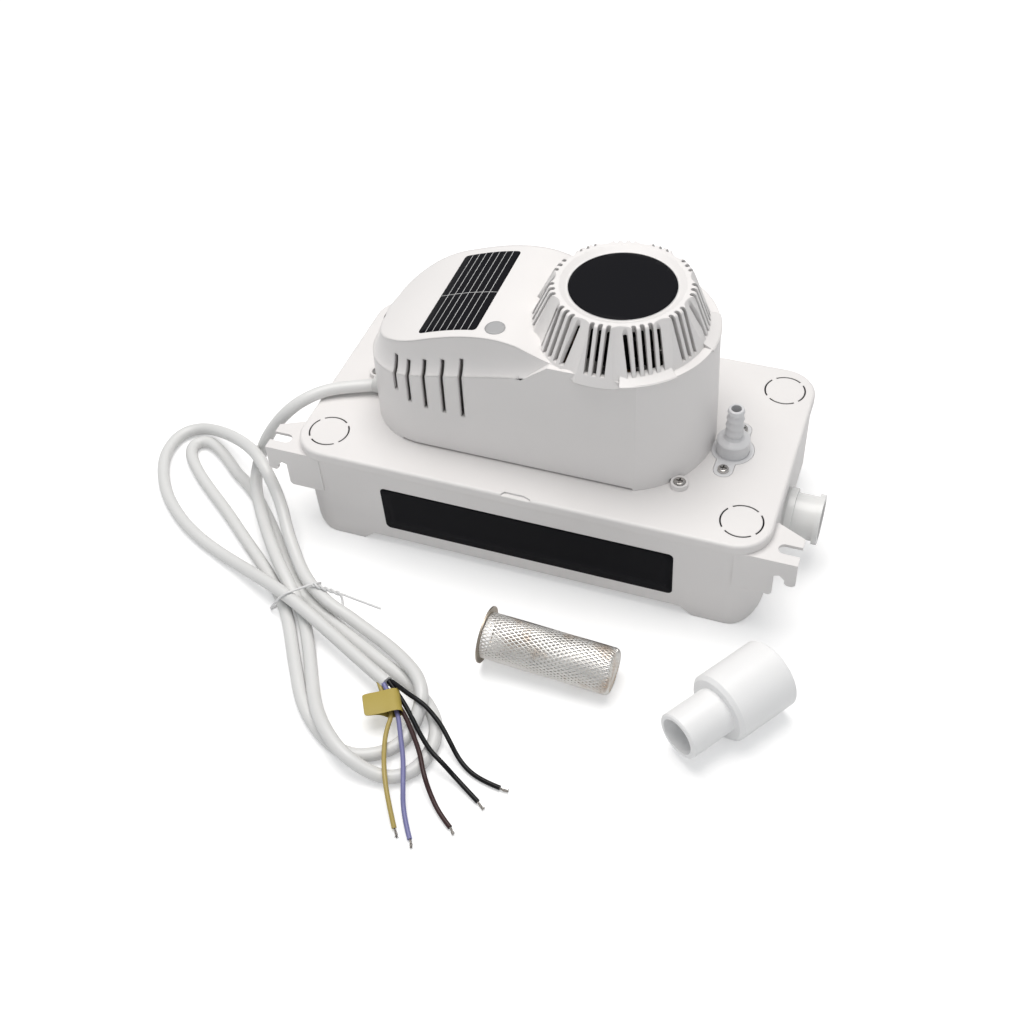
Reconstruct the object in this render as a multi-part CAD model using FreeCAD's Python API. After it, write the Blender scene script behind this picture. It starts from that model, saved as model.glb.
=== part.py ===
import FreeCAD, Part
import math
import os

V = FreeCAD.Vector

# Frame: millimetres, origin on the floor under the middle of the tank, +X to the inlet end, +Z up

# Lid and tank
LID_LENGTH = 280.0
LID_WIDTH = 149.3
LID_TOP = 68.9
LID_EDGE = 6.1
LID_PLATE = 2.5
LID_CORNER = 20.0
LID_LIP = 1.8
SEAT_CLEARANCE = 0.3
TANK_INSET = 1.0
FRONT_INSET = 2.0
TANK_WALL = 2.8
TANK_DRAFT = 0.03
TANK_CORNER = 19.0
END_ROUND = 17.0
FOOT_HEIGHT = 5.9
FOOT_LENGTH = 37.0
FOOT_RAMP = 7.0
SEAL_HEIGHT = 1.0
SEAL_WIDTH = 1.2
SKIRT_WALL = 2.3

# Hanging ears at the front corners
EAR_REACH = 17.0
EAR_PLATE = 2.0
EAR_SLOT = 7.0
EAR_SLOT_SIDE = 12.15
EAR_SLOT_GAP = 4.5
EAR_FACE_GAP = 3.0
EAR_BACK = 52.5
EAR_HOOK_Z = 45.5
EAR_LEDGE_Z = 35.5
HOOK_WIDTH = 6.0

# Knock-outs and finger notch in the lid
KNOCK_END = 17.5
KNOCK_SIDE = 19.65
KNOCK_R = 12.07
KNOCK_GROOVE = 0.9
KNOCK_TABS = 4
KNOCK_TAB_ANGLE = 14.0
NOTCH_HALF = 8.5
NOTCH_DEPTH = 3.0

# Motor cover
CAP_X = 38.8
CAP_R = 54.8
COVER_HALF = 50.2
COVER_LEFT = -106.0
COVER_CORNER = 40.0
COVER_BULGE = 1.6
COVER_WALL = 2.2
COVER_DRAFT = 0.027
SHELF_Z = 143.5
CAP_TOP = 169.5
CAP_TOP_R = 38.6
CAP_FOOT_R = 50.0
CAP_FOOT_SHIFT = 2.2
LABEL_R = 30.2
LABEL_BEVEL = 3.6
LABEL_DEPTH = 1.9
COVE_INSET = 5.6
SHOULDER_SLOPE = 0.21
SHOULDER_DROP = 13.7
SHOULDER_X = -20.0
VENT_BAYS = 11
VENT_PHASE = -91.0
VENT_PITCH = 4.4
VENT_WIDTH = 2.3
VENT_ROOF = 5.0
VENT_SILL = 1.7
VENT_END = 36.9
FLUTE_R = 9.0
FLUTE_DEPTH = 1.6
CAP_EDGE = 2.0
LOUVRE_X = [-78.4, -70.0, -60.3, -49.4, -38.2]
LOUVRE_LOW = [105.5, 100.4, 98.2, 97.7, 97.3]
LOUVRE_HIGH = [126.5, 126.5, 129.0, 131.5, 134.5]
LOUVRE_WIDTH = 2.2
CROWN = [(-100, -19.5), (-84, -10.5), (-66, -3.3), (-49, 2.7), (-32, 6.7), (-18, 7.7), (-6, 5.8), (4, 2.4)]
EDGE_GAP = 1.3
EDGE_GAP_ENDS = (-78.0, 60.0)
COVER_SCREWS = [(83.7, -38.7), (-115.0, -0.5)]
COVER_EAR_R = 5.0
COVER_EAR_H = 3.0

# Screws
SCREW_HEAD_R = 3.2
SCREW_HEAD_H = 1.9
SCREW_R = 1.5
SCREW_LENGTH = 9.0
CROSS = 0.9

# Discharge fitting and check valve
VALVE_X = 105.0
VALVE_Y = -2.5
COLLAR_R = 9.4
COLLAR_TOP = 78.0
BARB_TOP = 100.0
BARB_R = 4.3
BARB_RIDGE = 0.55
BARB_BORE = 2.9
PLATE_R = 12.0
PLATE_LOBE_R = 5.4
PLATE_THICK = 1.5
VALVE_SCREWS = [(103.7, -20.0), (106.3, 15.0)]
VALVE_BODY_R = 8.6
VALVE_BODY_LOW = 44.0
VALVE_CHAMBER_R = 5.6
BALL_R = 4.4

# Inlet fitting
INLET_Y = -7.0
INLET_Z = 32.5
INLET_REACH = 21.0
INLET_R = 13.2
INLET_BORE = 11.4
INLET_RIM_R = 14.7
INLET_RIM = 3.0
INLET_COLLAR_R = 15.4
INLET_COLLAR = 4.0
INLET_SEAL = 1.5
INLET_NUT_R = 17.0
INLET_NUT = 5.0

# Motor
SHAFT_R = 2.5
RUN_CLEARANCE = 0.05
POST_TOP = 84.0
POST_R = 3.4
POST_X = 17.0
POST_Y = 21.0
STRAP = 2.5
STRAP_WIDTH = 10.0
STACK = 22.0
STACK_X = 22.0
STACK_Y = 26.0
YOKE = 10.5
LEG = 10.0
LEG_REACH = 45.0
ROTOR_R = 14.6
AIR_GAP = 0.4
COIL_THICK = 8.7
BEARING_R = 7.0
BEARING_H = 7.0
FAN_R = 34.0
FAN_LOW = 126.0
FAN_HEIGHT = 14.0
FAN_BLADES = 7
FAN_HUB_R = 7.5

# Pump
COLUMN_R = 9.0
COLUMN_BORE = 6.0
COLUMN_HOLE = 12.5
VOLUTE_R = 25.0
VOLUTE_LOW = 12.0
VOLUTE_TOP = 27.0
VOLUTE_WALL = 2.2
IMPELLER_R = 18.5
IMPELLER_VANES = 6
VANE_THICK = 1.6
EYE_R = 7.0
OUTLET_R = 4.5
OUTLET_BORE = 3.0
OUTLET_STUB = 8.0
TUBE_STEP = 6.0
TUBE_RISE = 14.0
TUBE_BEND = 10.0
SLINGER_R = 10.0
SLINGER_Z = 74.5

# Float and switches
PIVOT_X = -38.0
PIVOT_Z = 58.0
PIN_R = 1.5
CHEEK_Y = 9.0
CHEEK = 2.0
FLOAT_X = -84.0
FLOAT_LENGTH = 48.0
FLOAT_WIDTH = 70.0
FLOAT_HEIGHT = 19.0
FLOAT_LOW = 13.0
ARM_WIDTH = 8.0
ARM_THICK = 3.5
FINGER_X = -50.0
FINGER_TOP = 73.6
SWITCH_X = -34.0
SWITCH_Z = 79.0
SWITCH_LENGTH = 28.0
SWITCH_WIDTH = 10.3
SWITCH_HEIGHT = 15.0
SWITCH_WEB = 1.6
BRACKET_HALF = 8.0
LEVER_PIVOT_X = -22.0
LEVER_LENGTH = 30.0
LEVER_THICK = 0.6
LEVER_TOP = 74.4
LEVER_PIN_R = 0.8
TONGUE_HALF = 1.5
LUG_HALF = 3.0

# Supply cable and its five cores
CABLE_D = 7.6
CORE_D = 2.6
GLAND_X = -108.6
GLAND_Y = -14.5
GLAND_Z = 74.2
HANK_LAYER = 8.0
TAG_THICK = 0.5
TAG_Z = 13.2

# Loose accessories
STRAINER_X = 1.5
STRAINER_Y = -130.9
STRAINER_TURN = -1.0
STRAINER_LENGTH = 73.5
STRAINER_R = 13.2
STRAINER_FLANGE_R = 16.3
STRAINER_WALL = 0.8
REDUCER_X = 155.2
REDUCER_Y = -111.6
REDUCER_TURN = -123.8
REDUCER_R = 19.7
REDUCER_SMALL_R = 13.25
REDUCER_BIG_LENGTH = 38.8
REDUCER_SMALL_LENGTH = 26.9
REDUCER_WALL = 2.8

# Worked out from the sizes above
LID_BOTTOM = LID_TOP - LID_EDGE
LID_UNDER = LID_TOP - LID_PLATE
TANK_HX = LID_LENGTH / 2 - TANK_INSET
TANK_HY = LID_WIDTH / 2 - FRONT_INSET
FOOT_INNER = TANK_HX - FOOT_LENGTH
EAR_TIP = LID_LENGTH / 2 + EAR_REACH
EAR_SLOT_Y = EAR_SLOT_SIDE - LID_WIDTH / 2
EAR_SLOT_END = LID_LENGTH / 2 + EAR_SLOT_GAP
KNOCK_X = LID_LENGTH / 2 - KNOCK_END
KNOCK_Y = LID_WIDTH / 2 - KNOCK_SIDE
INLET_END = TANK_HX + INLET_REACH
RIM_HX = LID_LENGTH / 2 - SKIRT_WALL - SEAT_CLEARANCE
RIM_HY = LID_WIDTH / 2 - SKIRT_WALL - SEAT_CLEARANCE - TANK_INSET
RIM_TOP = LID_UNDER - SEAL_HEIGHT
SHOULDER_Z = SHELF_Z - SHOULDER_DROP
LABEL_Z = CAP_TOP - LABEL_DEPTH
VENT_TOP = CAP_TOP - VENT_ROOF
VENT_BOTTOM = SHELF_Z + VENT_SILL
STRAP_LOW = POST_TOP
STACK_LOW = STRAP_LOW + STRAP
STACK_TOP = STACK_LOW + STACK
SWITCH_Y = [(SWITCH_WEB + SWITCH_WIDTH) / 2, -(SWITCH_WEB + SWITCH_WIDTH) / 2]
GLAND_HOLE_R = CABLE_D / 2 + 1.2
SHAFT_TOP = FAN_LOW + FAN_HEIGHT + 2.0
IMPELLER_LOW = VOLUTE_LOW + 1.0
IMPELLER_TOP = VOLUTE_TOP - VOLUTE_WALL - 1.0


def box(x0, x1, y0, y1, z0, z1):
    return Part.makeBox(x1 - x0, y1 - y0, z1 - z0, V(x0, y0, z0))


def post(x, y, z0, z1, r):
    return Part.makeCylinder(r, z1 - z0, V(x, y, z0))


def rod(start, axis, length, r):
    return Part.makeCylinder(r, length, V(*start), V(*axis))


def ring(x, y, z0, z1, outer, inner):
    return post(x, y, z0, z1, outer).cut(post(x, y, z0 - 1, z1 + 1, inner))


def fuse(shapes):
    whole = shapes[0]
    if len(shapes) > 1:
        whole = shapes[0].fuse(shapes[1:])
    return whole.removeSplitter()


def rounded_wire(hx, hy, r, z):
    corners = [(hx - r, hy - r, 0), (r - hx, hy - r, 90), (r - hx, r - hy, 180), (hx - r, r - hy, 270)]
    edges = []
    ends = []
    for x, y, start in corners:
        a, m, b = [math.radians(start + step) for step in (0, 45, 90)]
        points = [V(x + r * math.cos(t), y + r * math.sin(t), z) for t in (a, m, b)]
        ends.append((points[0], points[2]))
        edges.append(Part.Arc(*points).toShape())
    wire = []
    for i in range(4):
        wire.append(edges[i])
        wire.append(Part.makeLine(ends[i][1], ends[(i + 1) % 4][0]))
    return Part.Wire(wire)


def rounded_block(hx, hy, r, z0, z1):
    return Part.Face(rounded_wire(hx, hy, r, z0)).extrude(V(0, 0, z1 - z0))


def polygon_xz(points, y0, y1):
    loop = Part.makePolygon([V(x, y0, z) for x, z in points + points[:1]])
    return Part.Face(loop).extrude(V(0, y1 - y0, 0))


def polygon_xy(points, z0, z1):
    loop = Part.makePolygon([V(x, y, z0) for x, y in points + points[:1]])
    return Part.Face(loop).extrude(V(0, 0, z1 - z0))


def revolve(points, x, y):
    loop = Part.makePolygon([V(x + r, y, z) for r, z in points + points[:1]])
    return Part.Face(loop).revolve(V(x, y, 0), V(0, 0, 1), 360)


# Tank: one moulding with raised belly, two feet, rounded ends and an ear at each front corner
def tank_profile(inset, top):
    end = TANK_HX - inset
    radius = END_ROUND - inset
    low = inset
    belly = FOOT_HEIGHT + inset
    right = [V(0, 0, belly), V(FOOT_INNER - FOOT_RAMP - inset, 0, belly), V(FOOT_INNER - inset, 0, low)]
    right.append(V(end - radius, 0, low))
    turn = V(end - radius * (1 - math.sqrt(0.5)), 0, low + radius * (1 - math.sqrt(0.5)))
    rise = V(end, 0, low + radius)
    edges = [Part.makeLine(right[i], right[i + 1]) for i in range(3)]
    edges.append(Part.Arc(right[3], turn, rise).toShape())
    edges.append(Part.makeLine(rise, V(end, 0, top)))
    edges.append(Part.makeLine(V(end, 0, top), V(0, 0, top)))
    edges.append(Part.makeLine(V(0, 0, top), right[0]))
    half = Part.Face(Part.Wire(edges)).extrude(V(0, 2 * LID_WIDTH, 0))
    half.translate(V(0, -LID_WIDTH, 0))
    return half.fuse(half.mirror(V(0, 0, 0), V(1, 0, 0))).removeSplitter()


def tank_form(inset, top):
    shrink = TANK_DRAFT * top
    corner = TANK_CORNER - inset
    low = rounded_wire(TANK_HX - inset, TANK_HY - inset - shrink, corner, 0)
    high = rounded_wire(TANK_HX - inset, TANK_HY - inset, corner, top)
    return Part.makeLoft([low, high], True, True).common(tank_profile(inset, top))


def ear():
    top = LID_BOTTOM
    front = -TANK_HY
    slot_r = EAR_SLOT / 2
    inner = TANK_HX - TANK_CORNER + EAR_FACE_GAP
    roof = [(inner, front), (EAR_TIP, front), (EAR_TIP, -EAR_BACK)]
    roof += [(LID_LENGTH / 2 + 0.5, -EAR_BACK + 8), (TANK_HX - 1, -EAR_BACK + 8), (inner, front + 5)]
    plate = polygon_xy(roof, top - EAR_PLATE, top)
    slot_x = EAR_SLOT_END + slot_r
    plate = plate.cut(post(slot_x, EAR_SLOT_Y, top - 5, top + 1, slot_r))
    plate = plate.cut(box(slot_x, EAR_TIP + 1, EAR_SLOT_Y - slot_r, EAR_SLOT_Y + slot_r, top - 5, top + 1))
    hook_in = EAR_TIP - HOOK_WIDTH
    notch_top = EAR_HOOK_Z + 7
    wall_x = hook_in - HOOK_WIDTH
    face = [(inner, top), (EAR_TIP, top), (EAR_TIP, EAR_HOOK_Z + 1.5), (EAR_TIP - 1.5, EAR_HOOK_Z)]
    face += [(hook_in + 1.5, EAR_HOOK_Z), (hook_in, EAR_HOOK_Z + 1.5), (hook_in, notch_top - 3)]
    face += [(hook_in - 3, notch_top), (wall_x, notch_top - 1), (wall_x, EAR_LEDGE_Z + 1.5)]
    face += [(wall_x - 1.5, EAR_LEDGE_Z), (inner, EAR_LEDGE_Z)]
    return plate.fuse(polygon_xz(face, front, front + EAR_PLATE + 0.2))


def tank_body():
    rim = rounded_block(RIM_HX, RIM_HY, TANK_CORNER - SEAL_WIDTH, LID_BOTTOM - 1, RIM_TOP)
    return tank_form(0, LID_BOTTOM).fuse(rim)


def make_ear(side):
    shape = ear().cut(tank_body())
    if side < 0:
        shape = shape.mirror(V(0, 0, 0), V(1, 0, 0))
    return shape


def make_tank():
    cavity = tank_form(TANK_WALL, RIM_TOP + 1)
    hole = rod((TANK_HX - 2 * TANK_WALL, INLET_Y, INLET_Z), (1, 0, 0), 4 * TANK_WALL, INLET_R)
    return tank_body().cut([cavity, hole]).removeSplitter()


# Lid: plate, skirt, inner rib and four knock-outs held by small tabs
def knock_out(x, y):
    groove = ring(x, y, LID_UNDER - 1, LID_TOP + 1, KNOCK_R, KNOCK_R - KNOCK_GROOVE)
    tab = KNOCK_R * math.radians(KNOCK_TAB_ANGLE)
    bars = []
    for i in range(KNOCK_TABS):
        bar = box(x, x + KNOCK_R + 2, y - tab / 2, y + tab / 2, LID_UNDER - 2, LID_TOP + 2)
        bar.rotate(V(x, y, 0), V(0, 0, 1), 45 + i * 360 / KNOCK_TABS)
        bars.append(bar)
    return groove.cut(bars)


def valve_plate_outline(grow, z0, z1):
    shape = [post(VALVE_X, VALVE_Y, z0, z1, PLATE_R + grow)]
    for x, y in VALVE_SCREWS:
        shape.append(post(x, y, z0, z1, PLATE_LOBE_R + grow))
        side = PLATE_LOBE_R + grow
        shape.append(box(x - side, x + side, min(y, VALVE_Y), max(y, VALVE_Y), z0, z1))
    return fuse(shape)


def finger_slot():
    return box(FINGER_X - 4, FINGER_X + 10, -CHEEK_Y - 8, CHEEK_Y + 8, LID_UNDER - 1, LID_TOP + 1)


def make_lid():
    outer = rounded_block(LID_LENGTH / 2, LID_WIDTH / 2, LID_CORNER, LID_BOTTOM, LID_TOP)
    top_edges = [e for e in outer.Edges if min(v.Z for v in e.Vertexes) > LID_TOP - 0.1]
    outer = outer.makeFillet(LID_LIP, top_edges)
    inside_x = RIM_HX + SEAT_CLEARANCE
    inside_y = RIM_HY + SEAT_CLEARANCE
    hollow = rounded_block(inside_x, inside_y, TANK_CORNER - SEAL_WIDTH, LID_BOTTOM - 1, LID_UNDER)
    rib_x = TANK_HX - TANK_WALL - SEAT_CLEARANCE
    rib_y = TANK_HY - TANK_WALL - SEAT_CLEARANCE
    rib_r = TANK_CORNER - TANK_WALL - SEAT_CLEARANCE
    rib = rounded_block(rib_x, rib_y, rib_r, LID_BOTTOM - 2, LID_UNDER)
    rib = rib.cut(rounded_block(rib_x - 1.6, rib_y - 1.6, rib_r - 1.6, LID_BOTTOM - 3, LID_UNDER + 1))
    lid = outer.cut(hollow).fuse(rib)
    cuts = [knock_out(sx * KNOCK_X, sy * KNOCK_Y) for sx in (-1, 1) for sy in (-1, 1)]
    front = -LID_WIDTH / 2
    deep = front + NOTCH_DEPTH
    notch = [(-NOTCH_HALF, front - 1), (NOTCH_HALF, front - 1), (NOTCH_HALF, front + 1.4)]
    notch += [(4, deep), (-7, deep), (-NOTCH_HALF, front + 1.4)]
    cuts.append(polygon_xy(notch, LID_TOP - 1.0, LID_TOP + 1))
    cuts.append(valve_plate_outline(0.2, LID_TOP - PLATE_THICK, LID_TOP + 1))
    cuts.append(post(VALVE_X, VALVE_Y, LID_UNDER - 1, LID_TOP + 1, VALVE_BODY_R + SEAT_CLEARANCE))
    cuts.append(post(CAP_X, 0, LID_UNDER - 1, LID_TOP + 1, COLUMN_R + 0.1))
    cuts.append(finger_slot())
    for x, y in VALVE_SCREWS + COVER_SCREWS:
        cuts.append(post(x, y, LID_UNDER - 1, LID_TOP + 1, SCREW_R))
    return lid.cut(cuts).removeSplitter()


def make_lid_seal():
    outer = rounded_block(RIM_HX, RIM_HY, TANK_CORNER - SEAL_WIDTH, RIM_TOP, LID_UNDER)
    hx = RIM_HX - SEAL_WIDTH
    hy = RIM_HY - SEAL_WIDTH
    inner = rounded_block(hx, hy, TANK_CORNER - 2 * SEAL_WIDTH, RIM_TOP - 1, LID_UNDER + 1)
    return outer.cut(inner)


# Motor cover: straight sides, big left corners, round right end, low hump and vented cap
def cover_wire(inset, z):
    half = COVER_HALF - inset
    corner = COVER_CORNER - inset
    left = COVER_LEFT + inset
    cx = COVER_LEFT + COVER_CORNER
    cap = CAP_R - inset
    end = CAP_X + math.sqrt(cap * cap - half * half)
    cy = half - corner
    turn = corner * math.sqrt(0.5)
    points = [V(end, -half, z), V(cx, -half, z), V(cx - turn, -cy - turn, z), V(left, -cy, z)]
    edges = [Part.makeLine(points[0], points[1]), Part.Arc(*points[1:4]).toShape()]
    edges.append(Part.Arc(points[3], V(left - COVER_BULGE, 0, z), V(left, cy, z)).toShape())
    edges.append(Part.Arc(V(left, cy, z), V(cx - turn, cy + turn, z), V(cx, half, z)).toShape())
    edges.append(Part.makeLine(V(cx, half, z), V(end, half, z)))
    edges.append(Part.Arc(V(end, half, z), V(CAP_X + cap, 0, z), points[0]).toShape())
    return Part.Wire(edges)


def side_cut(points, curve):
    y = 2 * CAP_R
    spots = [V(x, -y, z) for x, z in points]
    if curve:
        line = Part.BSplineCurve()
        line.interpolate(spots)
        edges = [line.toShape()]
    else:
        edges = [Part.makeLine(a, b) for a, b in zip(spots, spots[1:])]
    floor = LID_TOP - 5
    low_first = V(spots[0].x, -y, floor)
    low_last = V(spots[-1].x, -y, floor)
    edges.append(Part.makeLine(spots[-1], low_last))
    edges.append(Part.makeLine(low_last, low_first))
    edges.append(Part.makeLine(low_first, spots[0]))
    return Part.Face(Part.Wire(edges)).extrude(V(0, 2 * y, 0))


def shoulder_z(x):
    return SHOULDER_Z + SHOULDER_SLOPE * (x - SHOULDER_X)


def cover_form(wall):
    low = LID_TOP - (1 if wall else 0)
    rise = SHELF_Z - LID_TOP
    lean = COVER_DRAFT * rise
    block = Part.makeLoft([cover_wire(wall, low), cover_wire(wall + lean, SHELF_Z - wall)], True, True)
    far = CAP_X + CAP_R + 5
    left = COVER_LEFT - 8
    crease = [(left, shoulder_z(left) - wall), (-8, shoulder_z(-8) - wall), (-3, SHOULDER_Z + 2 - wall)]
    crease += [(12, SHELF_Z - wall), (far, SHELF_Z - wall)]
    block = block.common(side_cut(crease, False))
    base = shoulder_z(0) - wall
    steps = [(-0.5, 0.3), (3.0, 2.9), (8.0, 4.7), (15.0, COVE_INSET), (32.0, COVE_INSET + 0.6)]
    wires = [cover_wire(wall + lean * 0.8 + inset, base + dz) for dz, inset in steps]
    hump = Part.makeLoft(wires, True, False)
    shear = FreeCAD.Matrix()
    shear.A31 = SHOULDER_SLOPE
    hump = hump.transformGeometry(shear)
    crown = [(left, -27.5)] + CROWN + [(14, 0), (30, -1)]
    hump = hump.common(side_cut([(x, SHELF_Z + dz - wall) for x, dz in crown], True))
    return block, hump


def cap_cone(inset):
    foot_z = SHELF_Z - 4
    foot = Part.makeCircle(CAP_FOOT_R + 1.5 - inset, V(CAP_X - CAP_FOOT_SHIFT, 0, foot_z))
    drop = inset * 1.9
    top = Part.makeCircle(CAP_TOP_R - inset, V(CAP_X, 0, CAP_TOP - drop))
    return Part.makeLoft([Part.Wire(foot), Part.Wire(top)], True, True)


def cap_outer():
    cone = cap_cone(0)
    rim = [e for e in cone.Edges if e.BoundBox.ZMin > CAP_TOP - 0.1]
    low = LABEL_R + LABEL_BEVEL
    dish = Part.makeCone(LABEL_R, low, LABEL_DEPTH, V(CAP_X, 0, LABEL_Z))
    return cone.makeFillet(CAP_EDGE, rim).cut([dish] + [flute(k, 0) for k in bays()])


def cap_hollow():
    return cap_cone(COVER_WALL).cut([flute(k, COVER_WALL) for k in bays()])


def bays():
    return range(-5, 6)


def bay_angle(k):
    return VENT_PHASE + k * 360.0 / VENT_BAYS


def is_wide(k):
    return abs(k) % 2 == 1


def vent_slots(k):
    count = 5 if is_wide(k) else 3
    far = CAP_FOOT_R + CAP_FOOT_SHIFT
    half = VENT_WIDTH / 2
    slots = []
    for i in range(count):
        y = (i - (count - 1) / 2) * VENT_PITCH
        slot = box(CAP_TOP_R - 6, far, y - half, y + half, VENT_BOTTOM, VENT_TOP)
        mouth = box(VENT_END, far, y - half, y + half, VENT_BOTTOM, CAP_TOP + 1)
        slot = slot.fuse([mouth, post(VENT_END, y, VENT_TOP - 1, CAP_TOP + 1, half)])
        slot.rotate(V(0, 0, 0), V(0, 0, 1), bay_angle(k))
        slot.translate(V(CAP_X, 0, 0))
        slots.append(slot)
    return slots


def flute(k, grow):
    slope = math.degrees(math.atan2(CAP_FOOT_R - CAP_TOP_R, CAP_TOP - SHELF_Z)) + 2
    groove = Part.makeCylinder(FLUTE_R + grow, 48, V(0, 0, -38))
    groove.rotate(V(0, 0, 0), V(0, 1, 0), -slope)
    groove.translate(V(CAP_TOP_R + FLUTE_R - FLUTE_DEPTH, 0, CAP_TOP))
    groove.rotate(V(0, 0, 0), V(0, 0, 1), bay_angle(k + 0.5))
    groove.translate(V(CAP_X, 0, 0))
    return groove


def ledge(k):
    low = SHELF_Z - 2.4
    lip = CAP_R - 1.4
    points = [(CAP_TOP_R, low), (lip - 1.6, low), (lip, low + 1.0), (lip, low + 2.0)]
    points += [(lip - 8.5, low + 5.6), (CAP_TOP_R, low + 5.6)]
    loop = Part.makePolygon([V(r, 0, z) for r, z in points + points[:1]])
    piece = Part.Face(loop).revolve(V(0, 0, 0), V(0, 0, 1), 34)
    piece.rotate(V(0, 0, 0), V(0, 0, 1), bay_angle(k) - 17)
    piece.translate(V(CAP_X, 0, 0))
    return piece


def cover_ears():
    ears = []
    for x, y in COVER_SCREWS:
        ears.append(post(x, y, LID_TOP, LID_TOP + COVER_EAR_H, COVER_EAR_R))
    x, y = COVER_SCREWS[1]
    half = COVER_EAR_R
    ears.append(box(x, COVER_LEFT, y - half, y + half, LID_TOP, LID_TOP + COVER_EAR_H))
    return ears


def louvres():
    slots = []
    half = LOUVRE_WIDTH / 2
    for x, low, high in zip(LOUVRE_X, LOUVRE_LOW, LOUVRE_HIGH):
        slots.append(box(x - half, x + half, -CAP_R, -COVER_HALF + 16, low, high))
        slots.append(box(x - half, x + half, COVER_HALF - 16, CAP_R, low, high))
    return slots


def make_cover():
    block, hump = cover_form(0)
    inner_block, inner_hump = cover_form(COVER_WALL)
    hollow = cap_hollow()
    slots = [slot for k in bays() for slot in vent_slots(k)]
    cap = cap_outer().cut([hollow, inner_block, inner_hump] + slots)
    shell = block.fuse([hump] + [ledge(k) for k in (1, 3, 5, 6)] + cover_ears())
    shell = shell.cut([inner_block, inner_hump, hollow] + louvres())
    x0, x1 = EDGE_GAP_ENDS
    cuts = [box(x0, x1, -CAP_R - 1, -COVER_HALF + 8, LID_TOP - 1, LID_TOP + EDGE_GAP)]
    for x, y in COVER_SCREWS:
        cuts.append(post(x, y, LID_TOP - 1, LID_TOP + COVER_EAR_H + 1, SCREW_R + 0.2))
        cuts.append(post(x, y, LID_TOP + 2, LID_TOP + COVER_EAR_H + 9, SCREW_HEAD_R + 0.3))
    cuts.append(rod((GLAND_X - 12, GLAND_Y, GLAND_Z), (1, 0, 0), 20, GLAND_HOLE_R))
    return shell.fuse(cap).cut(cuts)


# Screws: pan head with a cross recess, all driven downwards
def screw(x, y, seat, r=SCREW_R, length=SCREW_LENGTH):
    head = post(x, y, seat, seat + SCREW_HEAD_H, SCREW_HEAD_R)
    rims = [e for e in head.Edges if abs(e.BoundBox.ZMin - seat - SCREW_HEAD_H) < 0.01]
    head = head.makeFillet(1.0, rims)
    shank = post(x, y, seat - length, seat, r)
    z = seat + SCREW_HEAD_H
    cross = [box(x - 1.9, x + 1.9, y - CROSS / 2, y + CROSS / 2, z - 1.1, z + 1)]
    cross.append(box(x - CROSS / 2, x + CROSS / 2, y - 1.9, y + 1.9, z - 1.1, z + 1))
    return head.fuse(shank).cut(cross).removeSplitter()


def make_cover_screws():
    return Part.makeCompound([screw(x, y, LID_TOP + 2, length=2 + LID_PLATE + 2) for x, y in COVER_SCREWS])


def make_valve_screws():
    return Part.makeCompound([screw(x, y, LID_TOP, length=LID_PLATE + 3) for x, y in VALVE_SCREWS])


# Discharge: barbed fitting, retainer plate, valve body below the lid, ball
def make_barb():
    neck = COLLAR_TOP + 1.5
    points = [(BARB_BORE, LID_TOP - 1.4), (COLLAR_R, LID_TOP - 1.4), (COLLAR_R, COLLAR_TOP - 0.8)]
    points += [(COLLAR_R - 0.8, COLLAR_TOP), (BARB_R + 1.6, neck), (BARB_R + 1.1, neck + 1.0)]
    ridges = 4
    pitch = (BARB_TOP - neck - 1.0) / ridges
    for i in range(ridges):
        z = neck + 1.0 + i * pitch
        r = BARB_R + 0.2 * (ridges - 1 - i)
        points += [(r, z + 0.6), (r, z + pitch * 0.45)]
        points += [(r + BARB_RIDGE, z + pitch * 0.55), (r, z + pitch * 0.95)]
    points += [(BARB_R - 0.5, BARB_TOP), (BARB_BORE, BARB_TOP)]
    return revolve(points, VALVE_X, VALVE_Y)


def make_valve_plate():
    low = LID_TOP - PLATE_THICK
    plate = valve_plate_outline(0, low, LID_TOP)
    cuts = [post(VALVE_X, VALVE_Y, low - 1, LID_TOP + 1, COLLAR_R + 0.1)]
    cuts += [post(x, y, low - 1, LID_TOP + 1, SCREW_R + 0.1) for x, y in VALVE_SCREWS]
    return plate.cut(cuts)


def make_valve_body():
    top = LID_TOP - 1.4
    seat = VALVE_BODY_LOW + 8
    low = VALVE_BODY_LOW
    points = [(OUTLET_BORE, low), (VALVE_BODY_R - 2, low), (VALVE_BODY_R, low + 2), (VALVE_BODY_R, top)]
    points += [(VALVE_CHAMBER_R, top), (VALVE_CHAMBER_R, seat + 3), (OUTLET_BORE, seat)]
    return revolve(points, VALVE_X, VALVE_Y)


def make_ball():
    seat = VALVE_BODY_LOW + 8
    slope = math.atan2(3.0, VALVE_CHAMBER_R - OUTLET_BORE)
    rise = (BALL_R + 0.05) / math.cos(slope) - OUTLET_BORE * math.tan(slope)
    return Part.makeSphere(BALL_R, V(VALVE_X, VALVE_Y, seat + rise))


# Inlet: flanged pipe through the tank end with a gasket outside and a nut inside
def make_inlet():
    wall_out = TANK_HX + INLET_SEAL
    inner_x = TANK_HX - TANK_WALL - INLET_NUT - 2
    pipe = rod((inner_x, INLET_Y, INLET_Z), (1, 0, 0), INLET_END - inner_x, INLET_R - 0.15)
    collar = rod((wall_out, INLET_Y, INLET_Z), (1, 0, 0), INLET_COLLAR, INLET_COLLAR_R)
    rim = rod((INLET_END - INLET_RIM, INLET_Y, INLET_Z), (1, 0, 0), INLET_RIM, INLET_RIM_R)
    bore = rod((inner_x - 1, INLET_Y, INLET_Z), (1, 0, 0), INLET_END, INLET_BORE)
    return pipe.fuse([collar, rim]).cut(bore).removeSplitter()


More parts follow.
